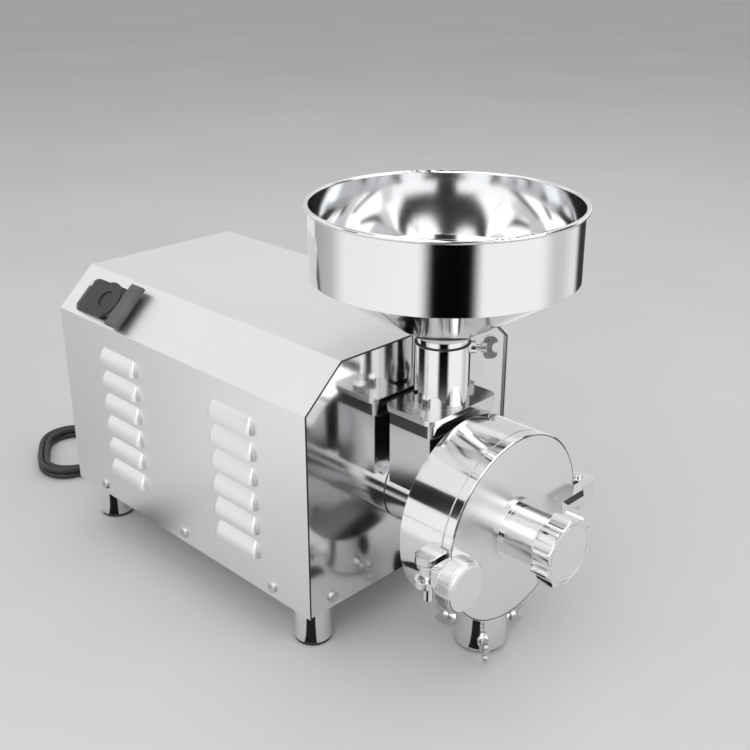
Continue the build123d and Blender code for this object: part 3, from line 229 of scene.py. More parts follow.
# Dark cards are seen only in polished metal too. Those on the floor lie beside the spout and three feet, each
# as the piece's place, the card's bearings and its radii.
FLOOR_CARDS = (
    (OUTLET_LINE, (6, 36), (0.030, 0.30)),
    ((0.0805, -0.112), (14, 61), (0.0195, 0.115)),
    ((-0.2665, -0.112), (14, 61), (0.0195, 0.115)),
    ((0.0805, 0.112), (14, 61), (0.0195, 0.115)),
)

# One dark card stands on the near side. The strips overhead have a distance aside of the camera's line and a
# width each.
DRUM_CARD_X = (-0.34, -0.12)
DRUM_CARD_Y = -0.6
DRUM_CARD_Z = (0.34, 0.64)
TOP_CARDS = ((0.0, 0.10), (-0.42, 0.14), (0.42, 0.14))
TOP_CARD_LENGTH = 1.3
TOP_CARD_HEIGHT = 1.0
CARD_TONE = 0.015
CARD_VARIATION = 1.5


def coil_point(share, bend, height):
    """A point on the coil's loop, a share of a turn from where the lead meets it, clockwise from above."""
    straight = 2 * COIL_HALF_STRAIGHT
    arc = math.pi * bend
    along = (share % 1.0) * 2 * (straight + arc)
    first = 0.5 * arc
    if along < first:
        angle = -along / bend
        place = (COIL_HALF_STRAIGHT + bend * math.cos(angle), bend * math.sin(angle))
    elif along < first + straight:
        place = (COIL_HALF_STRAIGHT - (along - first), -bend)
    elif along < first + straight + arc:
        angle = -0.5 * math.pi - (along - first - straight) / bend
        place = (-COIL_HALF_STRAIGHT + bend * math.cos(angle), bend * math.sin(angle))
    elif along < first + 2 * straight + arc:
        place = (-COIL_HALF_STRAIGHT + (along - first - straight - arc), bend)
    else:
        angle = 0.5 * math.pi - (along - first - 2 * straight - arc) / bend
        place = (COIL_HALF_STRAIGHT + bend * math.cos(angle), bend * math.sin(angle))
    turn = Matrix.Rotation(COIL_TURN - math.pi, 2)
    x, y = turn @ Vector(place)
    return (COIL_CENTRE[0] + x, COIL_CENTRE[1] + y, height)


def coil_lay(turns):
    """How far outward and upward the cord lies after some turns, in cord widths."""
    whole = min(int(turns), len(COIL_PLAN) - 1)
    here = COIL_PLAN[whole]
    after = COIL_PLAN[min(whole + 1, len(COIL_PLAN) - 1)]
    part = max(0.0, (turns - whole - (1 - COIL_CHANGE)) / COIL_CHANGE)
    part = min(part, 1.0)
    wide = here[0] + (after[0] - here[0]) * part
    high = here[1] + (after[1] - here[1]) * part
    return wide, high


def coil_points():
    """The cord's control points through its turns."""
    points = []
    count = round(COIL_TURNS * COIL_STEPS)
    for step in range(count + 1):
        turns = COIL_TURNS * step / count
        wide, high = coil_lay(turns)
        bend = (COIL_INNER_BEND + wide * CORD_DIAMETER) * COIL_WIDENING
        points.append(coil_point(turns, bend, CORD_FLOOR + high * CORD_DIAMETER))
    return points


def new_object(name, data):
    """An object in the scene for a mesh, curve, lamp or camera."""
    made = bpy.data.objects.new(name, data)
    bpy.context.scene.collection.objects.link(made)
    return made


def mesh_object(name, form, material):
    """An object in the scene from a bmesh form, with its material."""
    mesh = bpy.data.meshes.new(name)
    form.to_mesh(mesh)
    form.free()
    mesh.materials.append(material)
    return new_object(name, mesh)


def make_cord(material):
    """The mains cord on one smooth line: from the gland to the floor, round its coil and on to the plug."""
    curve = bpy.data.curves.new("mains_cord", "CURVE")
    curve.dimensions = "3D"
    curve.bevel_depth = CORD_DIAMETER / 2
    curve.bevel_resolution = CORD_ROUNDNESS
    curve.resolution_u = CORD_STEPS
    curve.use_fill_caps = True
    points = list(LEAD_POINTS) + coil_points() + list(TAIL_POINTS)
    line = curve.splines.new("NURBS")
    line.points.add(len(points) - 1)
    for point, place in zip(line.points, points):
        point.co = (*place, 1.0)
    line.order_u = 3
    line.use_endpoint_u = True
    piece = new_object("mains_cord", curve)
    curve.materials.append(material)
    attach(piece, "root")
    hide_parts("cord_lead", "cord_coil", "cord_tail")


def make_camera():
    """The camera at the photograph's place and angle."""
    data = bpy.data.cameras.new("camera")
    data.lens = CAMERA_LENS
    data.sensor_width = CAMERA_SENSOR
    azimuth = math.radians(CAMERA_AZIMUTH)
    elevation = math.radians(CAMERA_ELEVATION)
    level = math.cos(elevation)
    back = Vector((math.sin(azimuth) * level, -math.cos(azimuth) * level, math.sin(elevation)))
    camera = new_object("camera", data)
    camera.location = CAMERA_PLACE
    camera.rotation_mode = "QUATERNION"
    camera.rotation_quaternion = (-back).to_track_quat("-Z", "Y")
    bpy.context.scene.camera = camera


def node(tree, kind, **values):
    """A shader node with some of its properties set."""
    made = tree.nodes.new(kind)
    for name, value in values.items():
        setattr(made, name, value)
    return made


def supply(tree, value, socket):
    """Gives a socket its number or colour, or links it to a field."""
    if isinstance(value, (int, float)):
        socket.default_value = value
    elif isinstance(value, tuple):
        socket.default_value = (*value, 1.0)
    else:
        tree.links.new(value, socket)


def arithmetic(tree, operation, first, second=0.0):
    """The result of one sum on sockets or numbers."""
    made = node(tree, "ShaderNodeMath", operation=operation)
    for socket, value in zip(made.inputs, (first, second)):
        supply(tree, value, socket)
    return made.outputs[0]


def weighed(tree, first, first_share, second, second_share):
    """The sum of two fields, each times its share."""
    return arithmetic(tree, "ADD", arithmetic(tree, "MULTIPLY", first, first_share),
                      arithmetic(tree, "MULTIPLY", second, second_share))


def place_of(tree, stretch=UNSTRETCHED):
    """The place on the object in metres, stretched along each axis."""
    coordinates = node(tree, "ShaderNodeTexCoord")
    mapping = node(tree, "ShaderNodeMapping")
    mapping.inputs["Scale"].default_value = stretch
    tree.links.new(coordinates.outputs["Object"], mapping.inputs["Vector"])
    return mapping.outputs["Vector"]


def parts_of(tree, output):
    """The three parts of the place or of the normal on the object."""
    coordinates = node(tree, "ShaderNodeTexCoord")
    split = node(tree, "ShaderNodeSeparateXYZ")
    tree.links.new(coordinates.outputs[output], split.inputs[0])
    return split.outputs


def radius_of(tree, place, axis, centre):
    """The distance of a place from a line along an axis."""
    names = {"X": ("Y", "Z"), "Y": ("X", "Z"), "Z": ("X", "Y")}[axis]
    squares = []
    for name, middle in zip(names, centre):
        side = arithmetic(tree, "SUBTRACT", place[name], middle)
        squares.append(arithmetic(tree, "MULTIPLY", side, side))
    return arithmetic(tree, "SQRT", arithmetic(tree, "ADD", *squares))


def brushed_along(stretch):
    """What makes the field of brushing in straight lines."""
    return lambda tree: place_of(tree, stretch)


def spun_round(axis, centre):
    """What makes the field of a piece spun round a line: even round it, fine along it and outward."""
    def field(tree):
        place = parts_of(tree, "Object")
        radius = radius_of(tree, place, axis, centre)
        join = node(tree, "ShaderNodeCombineXYZ")
        tree.links.new(arithmetic(tree, "MULTIPLY", radius, SPUN_SCALE), join.inputs["X"])
        tree.links.new(arithmetic(tree, "MULTIPLY", place[axis], SPUN_SCALE), join.inputs["Y"])
        return join.outputs[0]
    return field


def noise(tree, place, scale, detail):
    """A noise field over a place."""
    made = node(tree, "ShaderNodeTexNoise")
    made.inputs["Scale"].default_value = scale
    made.inputs["Detail"].default_value = detail
    made.inputs["Roughness"].default_value = NOISE_ROUGHNESS
    tree.links.new(place, made.inputs["Vector"])
    return made.outputs["Fac"]


def spread(tree, value, low, high, start=0.3, end=0.7):
    """A field between start and end, spread over a range of numbers."""
    made = node(tree, "ShaderNodeMapRange")
    made.inputs["From Min"].default_value = start
    made.inputs["From Max"].default_value = end
    made.inputs["To Min"].default_value = low
    made.inputs["To Max"].default_value = high
    tree.links.new(value, made.inputs["Value"])
    return made.outputs["Result"]


def two_tones(tree, value, first, second, start=0.35, end=0.65):
    """A colour between two tones, as a field goes from start to end."""
    made = node(tree, "ShaderNodeValToRGB")
    for stop, position, tone in zip(made.color_ramp.elements, (start, end), (first, second)):
        stop.position = position
        stop.color = (*tone, 1.0)
    tree.links.new(value, made.inputs["Fac"])
    return made.outputs["Color"]


def either_colour(tree, mask, first, second):
    """The first colour where the mask is nought, and the second where it is one."""
    mixed = node(tree, "ShaderNodeMix", data_type="RGBA")
    tree.links.new(mask, mixed.inputs["Factor"])
    for index, colour in zip(MIX_COLOURS, (first, second)):
        supply(tree, colour, mixed.inputs[index])
    return mixed.outputs[MIX_RESULT]


def face_or_flank(tree, face, flank, axis):
    """One value on faces square to an axis, another on what lies along it."""
    normal = arithmetic(tree, "ABSOLUTE", parts_of(tree, "Normal")[axis])
    square = arithmetic(tree, "GREATER_THAN", normal, FACE_NORMAL)
    return weighed(tree, face, square, flank, arithmetic(tree, "SUBTRACT", 1.0, square))


def ripples(tree, along, pitch):
    """Even waves along a distance."""
    return arithmetic(tree, "SINE", arithmetic(tree, "MULTIPLY", along, 2 * math.pi / pitch))


def relief(tree, shader, height, microns, edge=EDGE):
    """A fine relief on the surface, over edges rounded by a small radius."""
    bump = node(tree, "ShaderNodeBump")
    bump.inputs["Strength"].default_value = 1.0
    bump.inputs["Distance"].default_value = microns * MICRON
    tree.links.new(height, bump.inputs["Height"])
    if edge:
        bevel = node(tree, "ShaderNodeBevel", samples=EDGE_SAMPLES)
        bevel.inputs["Radius"].default_value = edge
        tree.links.new(bevel.outputs[0], bump.inputs["Normal"])
    tree.links.new(bump.outputs[0], shader.inputs["Normal"])


def blank(name, metallic, roughness):
    """A node material with its principled shader at hand."""
    material = bpy.data.materials.new(name)
    material.use_nodes = True
    shader = material.node_tree.nodes["Principled BSDF"]
    shader.inputs["Metallic"].default_value = metallic
    shader.inputs["Roughness"].default_value = roughness
    return material, material.node_tree, shader


def darker(colour, share):
    """A share of a colour."""
    return tuple(value * share for value in colour)


def lighter(colour, factor, addition):
    """A colour made lighter, its dark tones most."""
    return tuple(min(1.0, value * factor + addition) for value in colour)


def metal(name, colour, rough, microns, lines, cloud_scale=14.0, edge=EDGE, shade=0.96, face_rough=None,
          face_axis="X", painted_face_shade=None, ridges=None):
    """Bare metal. lines makes the field of its brushing, microns is how deep that is, and a slow cloud gives
    handled and wiped areas. Faces square to face_axis have face_rough as their roughness, and may get
    painted shade: a share that scales their colour down. ridges are rings along X, as their pitch in metres
    and their depth in microns."""
    material, tree, shader = blank(name, metallic=1.0, roughness=rough[0])
    streaks = noise(tree, lines(tree), scale=1.0, detail=4.0)
    cloud = noise(tree, place_of(tree), cloud_scale, detail=5.0)
    blended = weighed(tree, streaks, STREAK_SHARE, cloud, CLOUD_SHARE)
    gloss = spread(tree, blended, *rough)
    if face_rough:
        gloss = face_or_flank(tree, spread(tree, blended, *face_rough), gloss, face_axis)
    tree.links.new(gloss, shader.inputs["Roughness"])
    toned = two_tones(tree, blended, darker(colour, shade), colour)
    # Painted shade: faces square to face_axis have their colour scaled down by a share
    if painted_face_shade:
        scaled = node(tree, "ShaderNodeVectorMath", operation="SCALE")
        tree.links.new(toned, scaled.inputs[0])
        tree.links.new(face_or_flank(tree, painted_face_shade, 1.0, face_axis), scaled.inputs["Scale"])
        toned = scaled.outputs["Vector"]
    tree.links.new(toned, shader.inputs["Base Color"])
    if ridges:
        pitch, deep = ridges
        rings = ripples(tree, parts_of(tree, "Object")["X"], pitch)
        streaks = arithmetic(tree, "ADD", arithmetic(tree, "MULTIPLY", rings, deep / microns), streaks)
    relief(tree, shader, streaks, microns, edge)
    return material


def dark_where(material, mask, dark):
    """Gives a finish a dark colour where the mask is one."""
    tree = material.node_tree
    colour = tree.nodes["Principled BSDF"].inputs["Base Color"]
    tree.links.new(either_colour(tree, mask, colour.links[0].from_socket, dark), colour)


def shell_finish(name):
    """The cabinet's brushed sheet, with painted shade on its cut edge round the front panel, where the gap to
    the panel is.
    """
    material = metal(name, colour=SATIN_STEEL, rough=(0.34, 0.40), microns=3,
                     lines=brushed_along(LINES_ALONG_X), cloud_scale=5.0, shade=0.975)
    tree = material.node_tree
    # The front edge is painted dark as the shade in the gap to the front panel
    front = arithmetic(tree, "GREATER_THAN", parts_of(tree, "Object")["X"], SHELL_FRONT_X - SHELL_EDGE)
    dark_where(material, front, SHELL_GAP_SHADE)
    return material


def cover_finish(name):
    """The cover's spun face with its polished rim, and a dark line of painted shade where they meet."""
    material = metal(name, colour=STEEL, rough=(0.07, 0.12), microns=0.6,
                     lines=spun_round("X", DRIVE_LINE), shade=0.99, face_rough=(0.27, 0.30))
    tree = material.node_tree
    radius = radius_of(tree, parts_of(tree, "Object"), "X", DRIVE_LINE)
    outer = arithmetic(tree, "GREATER_THAN", radius, COVER_SEAM_SHADE_RADIUS)
    face = arithmetic(tree, "GREATER_THAN", parts_of(tree, "Normal")["X"], FACE_NORMAL)
    # The outer ring of the flat face is painted dark as the shade where face and rim meet
    dark_where(material, arithmetic(tree, "MULTIPLY", outer, face), COVER_SEAM_SHADE)
    return material


def collar_finish(name):
    """Polished steel, dark on its two faces square to Y."""
    material = metal(name, colour=STEEL, rough=(0.07, 0.13), microns=2,
                     lines=brushed_along(COLLAR_UPWARD))
    tree = material.node_tree
    side = arithmetic(tree, "ABSOLUTE", parts_of(tree, "Normal")["Y"])
    dark_where(material, arithmetic(tree, "GREATER_THAN", side, COLLAR_SIDE_NORMAL), COLLAR_SIDE_DARK)
    return material


def plastic(name, colour, rough, microns):
    """Moulded plastic with a fine even grain and slightly worn, lighter patches."""
    material, tree, shader = blank(name, metallic=0.0, roughness=rough[0])
    place = place_of(tree)
    fine = noise(tree, place, scale=900.0, detail=3.0)
    cloud = noise(tree, place, scale=30.0, detail=5.0)
    tones = two_tones(tree, cloud, colour, lighter(colour, *PLASTIC_WEAR))
    tree.links.new(tones, shader.inputs["Base Color"])
    tree.links.new(spread(tree, cloud, *rough), shader.inputs["Roughness"])
    relief(tree, shader, fine, microns)
    return material


def switch_lever(name):
    """The switch handle: a nearly black hub and web, and a grey grip with fine lines across it."""
    material, tree, shader = blank(name, metallic=0.0, roughness=0.4)
    along = parts_of(tree, "Object")["X"]
    grip = arithmetic(tree, "GREATER_THAN", along, GRIP_START_X)
    cloud = noise(tree, place_of(tree), scale=60.0, detail=5.0)
    hub_colour = two_tones(tree, cloud, *HUB_TONES)
    grip_colour = two_tones(tree, cloud, *GRIP_TONES)
    tree.links.new(either_colour(tree, grip, hub_colour, grip_colour), shader.inputs["Base Color"])
    tree.links.new(spread(tree, cloud, low=0.32, high=0.46), shader.inputs["Roughness"])
    lines = arithmetic(tree, "MULTIPLY", ripples(tree, along, GRIP_LINE_PITCH), grip)
    relief(tree, shader, lines, microns=300)
    return material


def rubber(name, colour):
    """Matt rubber with a dusty bloom."""
    material, tree, shader = blank(name, metallic=0.0, roughness=0.7)
    place = place_of(tree)
    dust = noise(tree, place, scale=60.0, detail=6.0)
    fine = noise(tree, place, scale=1500.0, detail=2.0)
    tones = two_tones(tree, dust, colour, lighter(colour, *RUBBER_DUST))
    tree.links.new(tones, shader.inputs["Base Color"])
    tree.links.new(spread(tree, dust, low=0.55, high=0.8), shader.inputs["Roughness"])
    relief(tree, shader, fine, microns=30, edge=0.0004)
    return material


def millstone(name):
    """Bonded abrasive: pale and dark grains packed in a rough binder."""
    material, tree, shader = blank(name, metallic=0.0, roughness=0.85)
    place = place_of(tree)
    grains = node(tree, "ShaderNodeTexVoronoi")
    grains.inputs["Scale"].default_value = 700.0
    tree.links.new(place, grains.inputs["Vector"])
    cloud = noise(tree, place, scale=90.0, detail=5.0)
    mixed = weighed(tree, grains.outputs["Distance"], GRAIN_SHARE, cloud, BINDER_SHARE)
    tones = two_tones(tree, mixed, *STONE_TONES, start=0.3, end=0.75)
    tree.links.new(tones, shader.inputs["Base Color"])
    tree.links.new(spread(tree, cloud, low=0.75, high=0.95), shader.inputs["Roughness"])
    relief(tree, shader, grains.outputs["Distance"], microns=400, edge=0.0008)
    return material


def paint(name, colour, microns):
    """Sprayed paint on a casting, with its fine orange peel."""
    material, tree, shader = blank(name, metallic=0.0, roughness=0.45)
    place = place_of(tree)
    peel = noise(tree, place, scale=420.0, detail=2.0)
    cloud = noise(tree, place, scale=22.0, detail=5.0)
    tones = two_tones(tree, cloud, darker(colour, share=0.82), colour)
    tree.links.new(tones, shader.inputs["Base Color"])
    tree.links.new(spread(tree, cloud, low=0.35, high=0.55), shader.inputs["Roughness"])
    relief(tree, shader, peel, microns, edge=0.001)
    return material


def winding(name):
    """Varnished copper wire in close turns."""
    material, tree, shader = blank(name, metallic=0.6, roughness=0.35)
    wires = node(tree, "ShaderNodeTexWave", bands_direction="X")
    wires.inputs["Scale"].default_value = 260.0
    wires.inputs["Distortion"].default_value = 2.0
    wires.inputs["Detail"].default_value = 2.0
    tree.links.new(place_of(tree), wires.inputs["Vector"])
    tree.links.new(two_tones(tree, wires.outputs["Fac"], *COPPER_TONES), shader.inputs["Base Color"])
    tree.links.new(spread(tree, wires.outputs["Fac"], low=0.3, high=0.5), shader.inputs["Roughness"])
    relief(tree, shader, wires.outputs["Fac"], microns=200, edge=0.0005)
    return material


def plug_finish(name):
    """The mains plug: black plastic with grip ribs across its body, and brass blades in front of its face."""
    material, tree, shader = blank(name, metallic=0.0, roughness=0.4)
    start = Vector(TAIL_POINTS[-1])
    axis = (start - Vector(TAIL_POINTS[-2])).normalized()
    coordinates = node(tree, "ShaderNodeTexCoord")
    along = node(tree, "ShaderNodeVectorMath", operation="DOT_PRODUCT")
    along.inputs[1].default_value = axis
    tree.links.new(coordinates.outputs["Object"], along.inputs[0])
    reach = arithmetic(tree, "SUBTRACT", along.outputs["Value"], axis.dot(start))
    blades = arithmetic(tree, "GREATER_THAN", reach, PLUG_FACE + PLUG_FACE_PLAY)
    scuff = noise(tree, place_of(tree), scale=90.0, detail=5.0)
    body = two_tones(tree, scuff, *PLUG_TONES)
    tree.links.new(either_colour(tree, blades, body, BRASS), shader.inputs["Base Color"])
    tree.links.new(blades, shader.inputs["Metallic"])
    tree.links.new(spread(tree, scuff, low=0.3, high=0.46), shader.inputs["Roughness"])
    ribbed = arithmetic(tree, "MULTIPLY", arithmetic(tree, "GREATER_THAN", reach, PLUG_RIBS[0]),
                        arithmetic(tree, "LESS_THAN", reach, PLUG_RIBS[1]))
    ribs = arithmetic(tree, "MULTIPLY", ripples(tree, reach, PLUG_RIB_PITCH), ribbed)
    relief(tree, shader, ribs, microns=600)
    return material


def cord_jacket(name):
    """Black mains cord jacket, softly shiny, with scuffs."""
    material, tree, shader = blank(name, metallic=0.0, roughness=0.5)
    place = place_of(tree)
    scuff = noise(tree, place, scale=120.0, detail=5.0)
    fine = noise(tree, place, scale=1800.0, detail=2.0)
    tree.links.new(two_tones(tree, scuff, *JACKET_TONES), shader.inputs["Base Color"])
    tree.links.new(spread(tree, scuff, low=0.38, high=0.58), shader.inputs["Roughness"])
    relief(tree, shader, fine, microns=20, edge=0.0)
    return material


def make_metals():
    """The bare metals, by name."""
    feed = spun_round("Z", FEED_LINE)
    drive = spun_round("X", DRIVE_LINE)
    facts = {
        "satin_plain": dict(colour=SATIN_STEEL, rough=(0.30, 0.38), microns=3,
                            lines=brushed_along(LINES_ALONG_Y), cloud_scale=5.0, shade=0.975),
        "mirror_plain": dict(colour=STEEL, rough=(0.07, 0.13), microns=4, lines=brushed_along(POLISH_UPWARD)),
        "spun_feed": dict(colour=STEEL, rough=(0.06, 0.12), microns=6, lines=feed),
        # The feed tube's plate gets painted shade on its faces square to Z, at half its colour
        "tube_and_plate": dict(colour=STEEL, rough=(0.06, 0.12), microns=6, lines=feed,
                               face_rough=(0.15, 0.22), face_axis="Z", painted_face_shade=0.5),
        "spun_drive": dict(colour=STEEL, rough=(0.07, 0.14), microns=6, lines=drive),
        "spun_outlet": dict(colour=STEEL, rough=(0.07, 0.13), microns=6, lines=spun_round("Z", OUTLET_LINE)),
        "spun_clamp": dict(colour=STEEL, rough=(0.08, 0.14), microns=2, lines=spun_round("X", CLAMP_LINE),
                           shade=0.985, face_rough=(0.25, 0.28), ridges=CLAMP_RIDGES),
        "knob_metal": dict(colour=STEEL, rough=(0.05, 0.10), microns=0.6, lines=drive,
                           shade=0.99, face_rough=(0.27, 0.30)),
        "foot_metal": dict(colour=STEEL, rough=(0.08, 0.16), microns=6, lines=brushed_along(FOOT_HOOPS)),
        "machined": dict(colour=MACHINED_STEEL, rough=(0.2, 0.34), microns=10, lines=drive),
        "zinc": dict(colour=ZINC, rough=(0.2, 0.36), microns=20, lines=brushed_along(EVEN_GRAIN),
                     edge=0.0003),
    }
    return {name: metal(name, **fact) for name, fact in facts.items()}


def make_materials():
    """Every finish on the machine, by name."""
    finishes = make_metals()
    finishes["cast"] = paint("cast", CAST_GREY, microns=120)
    finishes["motor_paint"] = paint("motor_paint", MOTOR_BLUE, microns=60)
    finishes["black_rubber"] = rubber("black_rubber", BLACK_RUBBER)
    finishes["spider_red"] = rubber("spider_red", SPIDER_RED)
    plastics = {
        "black_plastic": (BLACK_PLASTIC, (0.32, 0.48), 40),
        "grey_plastic": (GREY_PLASTIC, (0.36, 0.5), 50),
        "white_plastic": (WHITE_PLASTIC, (0.35, 0.5), 30),
    }
    for name, (colour, rough, microns) in plastics.items():
        finishes[name] = plastic(name, colour, rough, microns)
    own = {
        "satin_along": shell_finish,
        "spun_cover": cover_finish,
        "collar": collar_finish,
        "switch_lever": switch_lever,
        "winding": winding,
        "stone": millstone,
        "cord": cord_jacket,
        "plug": plug_finish,
    }
    for name, make in own.items():
        finishes[name] = make(name)
    return finishes


# Which solids each finish is on
FINISH = {
    "satin_along": ("cabinet_shell",),
    "satin_plain": ("rear_panel", "base_tray"),
    "mirror_plain": ("front_panel", "hinge_arm", "hinge_pin", "clamp_ear", "clamp_post", "cover_gasket"),
    "collar": ("feed_collar",),
    "spun_feed": ("hopper",),
    "tube_and_plate": ("feed_tube",),
    "spun_drive": ("neck_housing", "drum", "adjust_hub"),
    "spun_cover": ("cover",),
    "spun_outlet": ("outlet_spout",),
    "spun_clamp": ("clamp_hand_screw",),
    "knob_metal": ("adjust_knob",),
    "foot_metal": ("feet",),
    "machined": ("motor_bearings", "motor_rotor", "spindle_bearings", "mill_spindle", "feed_screw",
                 "rotor_disc", "adjust_spindle"),
    "zinc": ("cabinet_screws", "base_bolts", "feed_bolts", "hopper_thumbscrew", "spindle_nut", "clamp_washer",
             "switch_screws", "outlet_thumbscrew_1", "outlet_thumbscrew_2", "outlet_thumbscrew_3"),
    "cast": ("coupling_hubs", "bearing_housing"),
    "motor_paint": ("motor_frame", "motor_end_shields", "fan_cowl"),
    "winding": ("motor_stator",),
    "black_rubber": ("foot_pads", "shaft_seal", "cord_gland"),
    "spider_red": ("coupling_spider",),
    "black_plastic": ("motor_fan", "terminal_box", "switch_body", "switch_cap"),
    "grey_plastic": ("switch_base",),
    "switch_lever": ("switch_handle",),
    "white_plastic": ("run_capacitor",),
    "stone": ("rotating_stone", "standing_stone"),
    "cord": ("cord_lead", "cord_coil", "cord_tail"),
    "plug": ("cord_plug",),
}


def dress_nodes(materials):
    """Gives every solid its finish."""
    for name, nodes in FINISH.items():
        for part in nodes:
            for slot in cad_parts[part].material_slots:
                slot.material = materials[name]


def matt_material(name, roughness, tones, scale, detail):
    """A matt, slightly uneven finish for the floor and the cards."""
    material, tree, shader = blank(name, metallic=0.0, roughness=roughness)
    cloud = noise(tree, place_of(tree), scale, detail)
    tree.links.new(two_tones(tree, cloud, *tones), shader.inputs["Base Color"])
    shader.inputs["Specular IOR Level"].default_value = 0.0
    return material


def make_floor():
    """A wide pale floor."""
    form = bmesh.new()
    bmesh.ops.create_circle(form, cap_ends=True, segments=FLOOR_SIDES, radius=FLOOR_RADIUS)
    material = matt_material("stage_floor", roughness=0.55, tones=PALE_TONES, scale=2.0, detail=3.0)
    floor = mesh_object("stage_floor", form, material)
    floor.location = (0.0, 0.0, -FLOOR_DROP)


def make_world():
    """Pale surroundings: brighter where they are seen or mirrored than as light."""
    world = bpy.data.worlds.new("studio")
    bpy.context.scene.world = world
    world.use_nodes = True
    tree = world.node_tree
    background = tree.nodes["Background"]
    path = node(tree, "ShaderNodeLightPath")
    mirrored = arithmetic(tree, "MAXIMUM", path.outputs["Is Glossy Ray"], path.outputs["Is Transmission Ray"])
    seen = arithmetic(tree, "MAXIMUM", path.outputs["Is Camera Ray"], mirrored)
    background.inputs["Color"].default_value = (*WORLD_COLOUR, 1.0)
    strength = spread(tree, seen, WORLD_AS_LIGHT, WORLD_AS_SEEN, start=0.0, end=1.0)
    tree.links.new(strength, background.inputs["Strength"])


def area_light(name, place, size, power):
    """A soft square light, aimed at the machine."""
    data = bpy.data.lights.new(name, "AREA")
    data.shape = "SQUARE"
    data.size = size
    data.energy = power
    lamp = new_object(name, data)
    lamp.location = place
    lamp.rotation_mode = "QUATERNION"
    aim = Vector(LAMP_AIM) - Vector(place)
    lamp.rotation_quaternion = aim.to_track_quat("-Z", "Y")


def ring_tones(name, tones, fade):
    """A glow whose tone changes with its bearing round the ring's middle, and fades in between two radii."""
    material = bpy.data.materials.new(name)
    material.use_nodes = True
    tree = material.node_tree
    tree.nodes.remove(tree.nodes["Principled BSDF"])
    around = node(tree, "ShaderNodeTexGradient", gradient_type="RADIAL")
    tree.links.new(place_of(tree), around.inputs["Vector"])
    ramp = node(tree, "ShaderNodeValToRGB")
    ramp.color_ramp.interpolation = "EASE"
    while len(ramp.color_ramp.elements) < len(tones):
        ramp.color_ramp.elements.new(0.5)
    for stop, (bearing, tone) in zip(ramp.color_ramp.elements, tones):
        stop.position = (bearing - FIRST_BEARING) / 360.0
        stop.color = (tone, tone, tone, 1.0)
    tree.links.new(around.outputs["Fac"], ramp.inputs["Fac"])
    glow = node(tree, "ShaderNodeEmission")
    tree.links.new(ramp.outputs["Color"], glow.inputs["Color"])
    clear = node(tree, "ShaderNodeBsdfTransparent")
    mix = node(tree, "ShaderNodeMixShader")
    radius = radius_of(tree, parts_of(tree, "Object"), "Z", (0.0, 0.0))
    start, end = fade
    tree.links.new(spread(tree, radius, low=0.0, high=1.0, start=start, end=end), mix.inputs["Fac"])
    tree.links.new(clear.outputs[0], mix.inputs[1])
    tree.links.new(glow.outputs[0], mix.inputs[2])
    tree.links.new(mix.outputs[0], tree.nodes["Material Output"].inputs["Surface"])
    return material


def hide_but_in_metal(piece):
    """Leaves a studio piece to be seen in polished surfaces only."""
    piece.visible_camera = False
    piece.visible_diffuse = False
    piece.visible_shadow = False


def circle_angles(steps):
    """Even angles round a circle."""
    return [2 * math.pi * step / steps for step in range(steps)]


def join_rows(form, here, there):
    """A band of faces between two closed rows of points."""
    for step in range(len(here)):
        after = (step + 1) % len(here)
        form.faces.new((here[step], here[after], there[after], there[step]))


def studio_ring(name, tones, first, last, fade):
    """A ring of card between two circles, each a radius and a height, round the feed tube."""
    form = bmesh.new()
    rows = []
    for radius, height in (first, last):
        rows.append([form.verts.new((radius * math.cos(a), radius * math.sin(a), height))
                     for a in circle_angles(RING_STEPS)])
    join_rows(form, *rows)
    ring = mesh_object(name, form, ring_tones(name, tones, fade))
    ring.location = (FEED_X, 0.0, 0.0)
    hide_but_in_metal(ring)


def dark_card(name, corners):
    """A flat dark card between its corners."""
    mesh = bpy.data.meshes.new(name)
    mesh.from_pydata(corners, [], [tuple(range(len(corners)))])
    tones = [(tone, tone, tone) for tone in (CARD_TONE, CARD_VARIATION * CARD_TONE)]
    mesh.materials.append(matt_material(name, roughness=0.9, tones=tones, scale=3.0, detail=2.0))
    hide_but_in_metal(new_object(name, mesh))


def floor_card(name, centre, bearings, radii):
    """A dark sector on the floor beside a round piece."""
    corners = []
    steps = [bearings[0] + (bearings[1] - bearings[0]) * k / CARD_STEPS for k in range(CARD_STEPS + 1)]
    for radius, order in ((radii[0], steps), (radii[1], reversed(steps))):
        for bearing in order:
            angle = math.radians(bearing)
            corners.append((centre[0] + radius * math.sin(angle), centre[1] - radius * math.cos(angle),
                            FLOOR_RING_HEIGHT / 2))
    dark_card(name, corners)


def drum_card():
    """A dark card standing on the near side, for the drum's flank to mirror."""
    left, right = DRUM_CARD_X
    low, high = DRUM_CARD_Z
    corners = ((left, low), (right, low), (right, high), (left, high))
    dark_card("stage_drum_card", [(x, DRUM_CARD_Y, z) for x, z in corners])


def top_card(name, aside, width):
    """A dark strip over the hopper, in line with the camera or to one side of that line."""
    angle = math.radians(CAMERA_AZIMUTH)
    right = Vector((math.cos(angle), math.sin(angle), 0.0))
    ahead = Vector((-math.sin(angle), math.cos(angle), 0.0))
    middle = Vector((FEED_X, 0.0, TOP_CARD_HEIGHT)) + right * aside
    corners = []
    for across, along in ((-1, -1), (1, -1), (1, 1), (-1, 1)):
        corners.append(middle + right * (across * width / 2) + ahead * (along * TOP_CARD_LENGTH / 2))
    dark_card(name, corners)


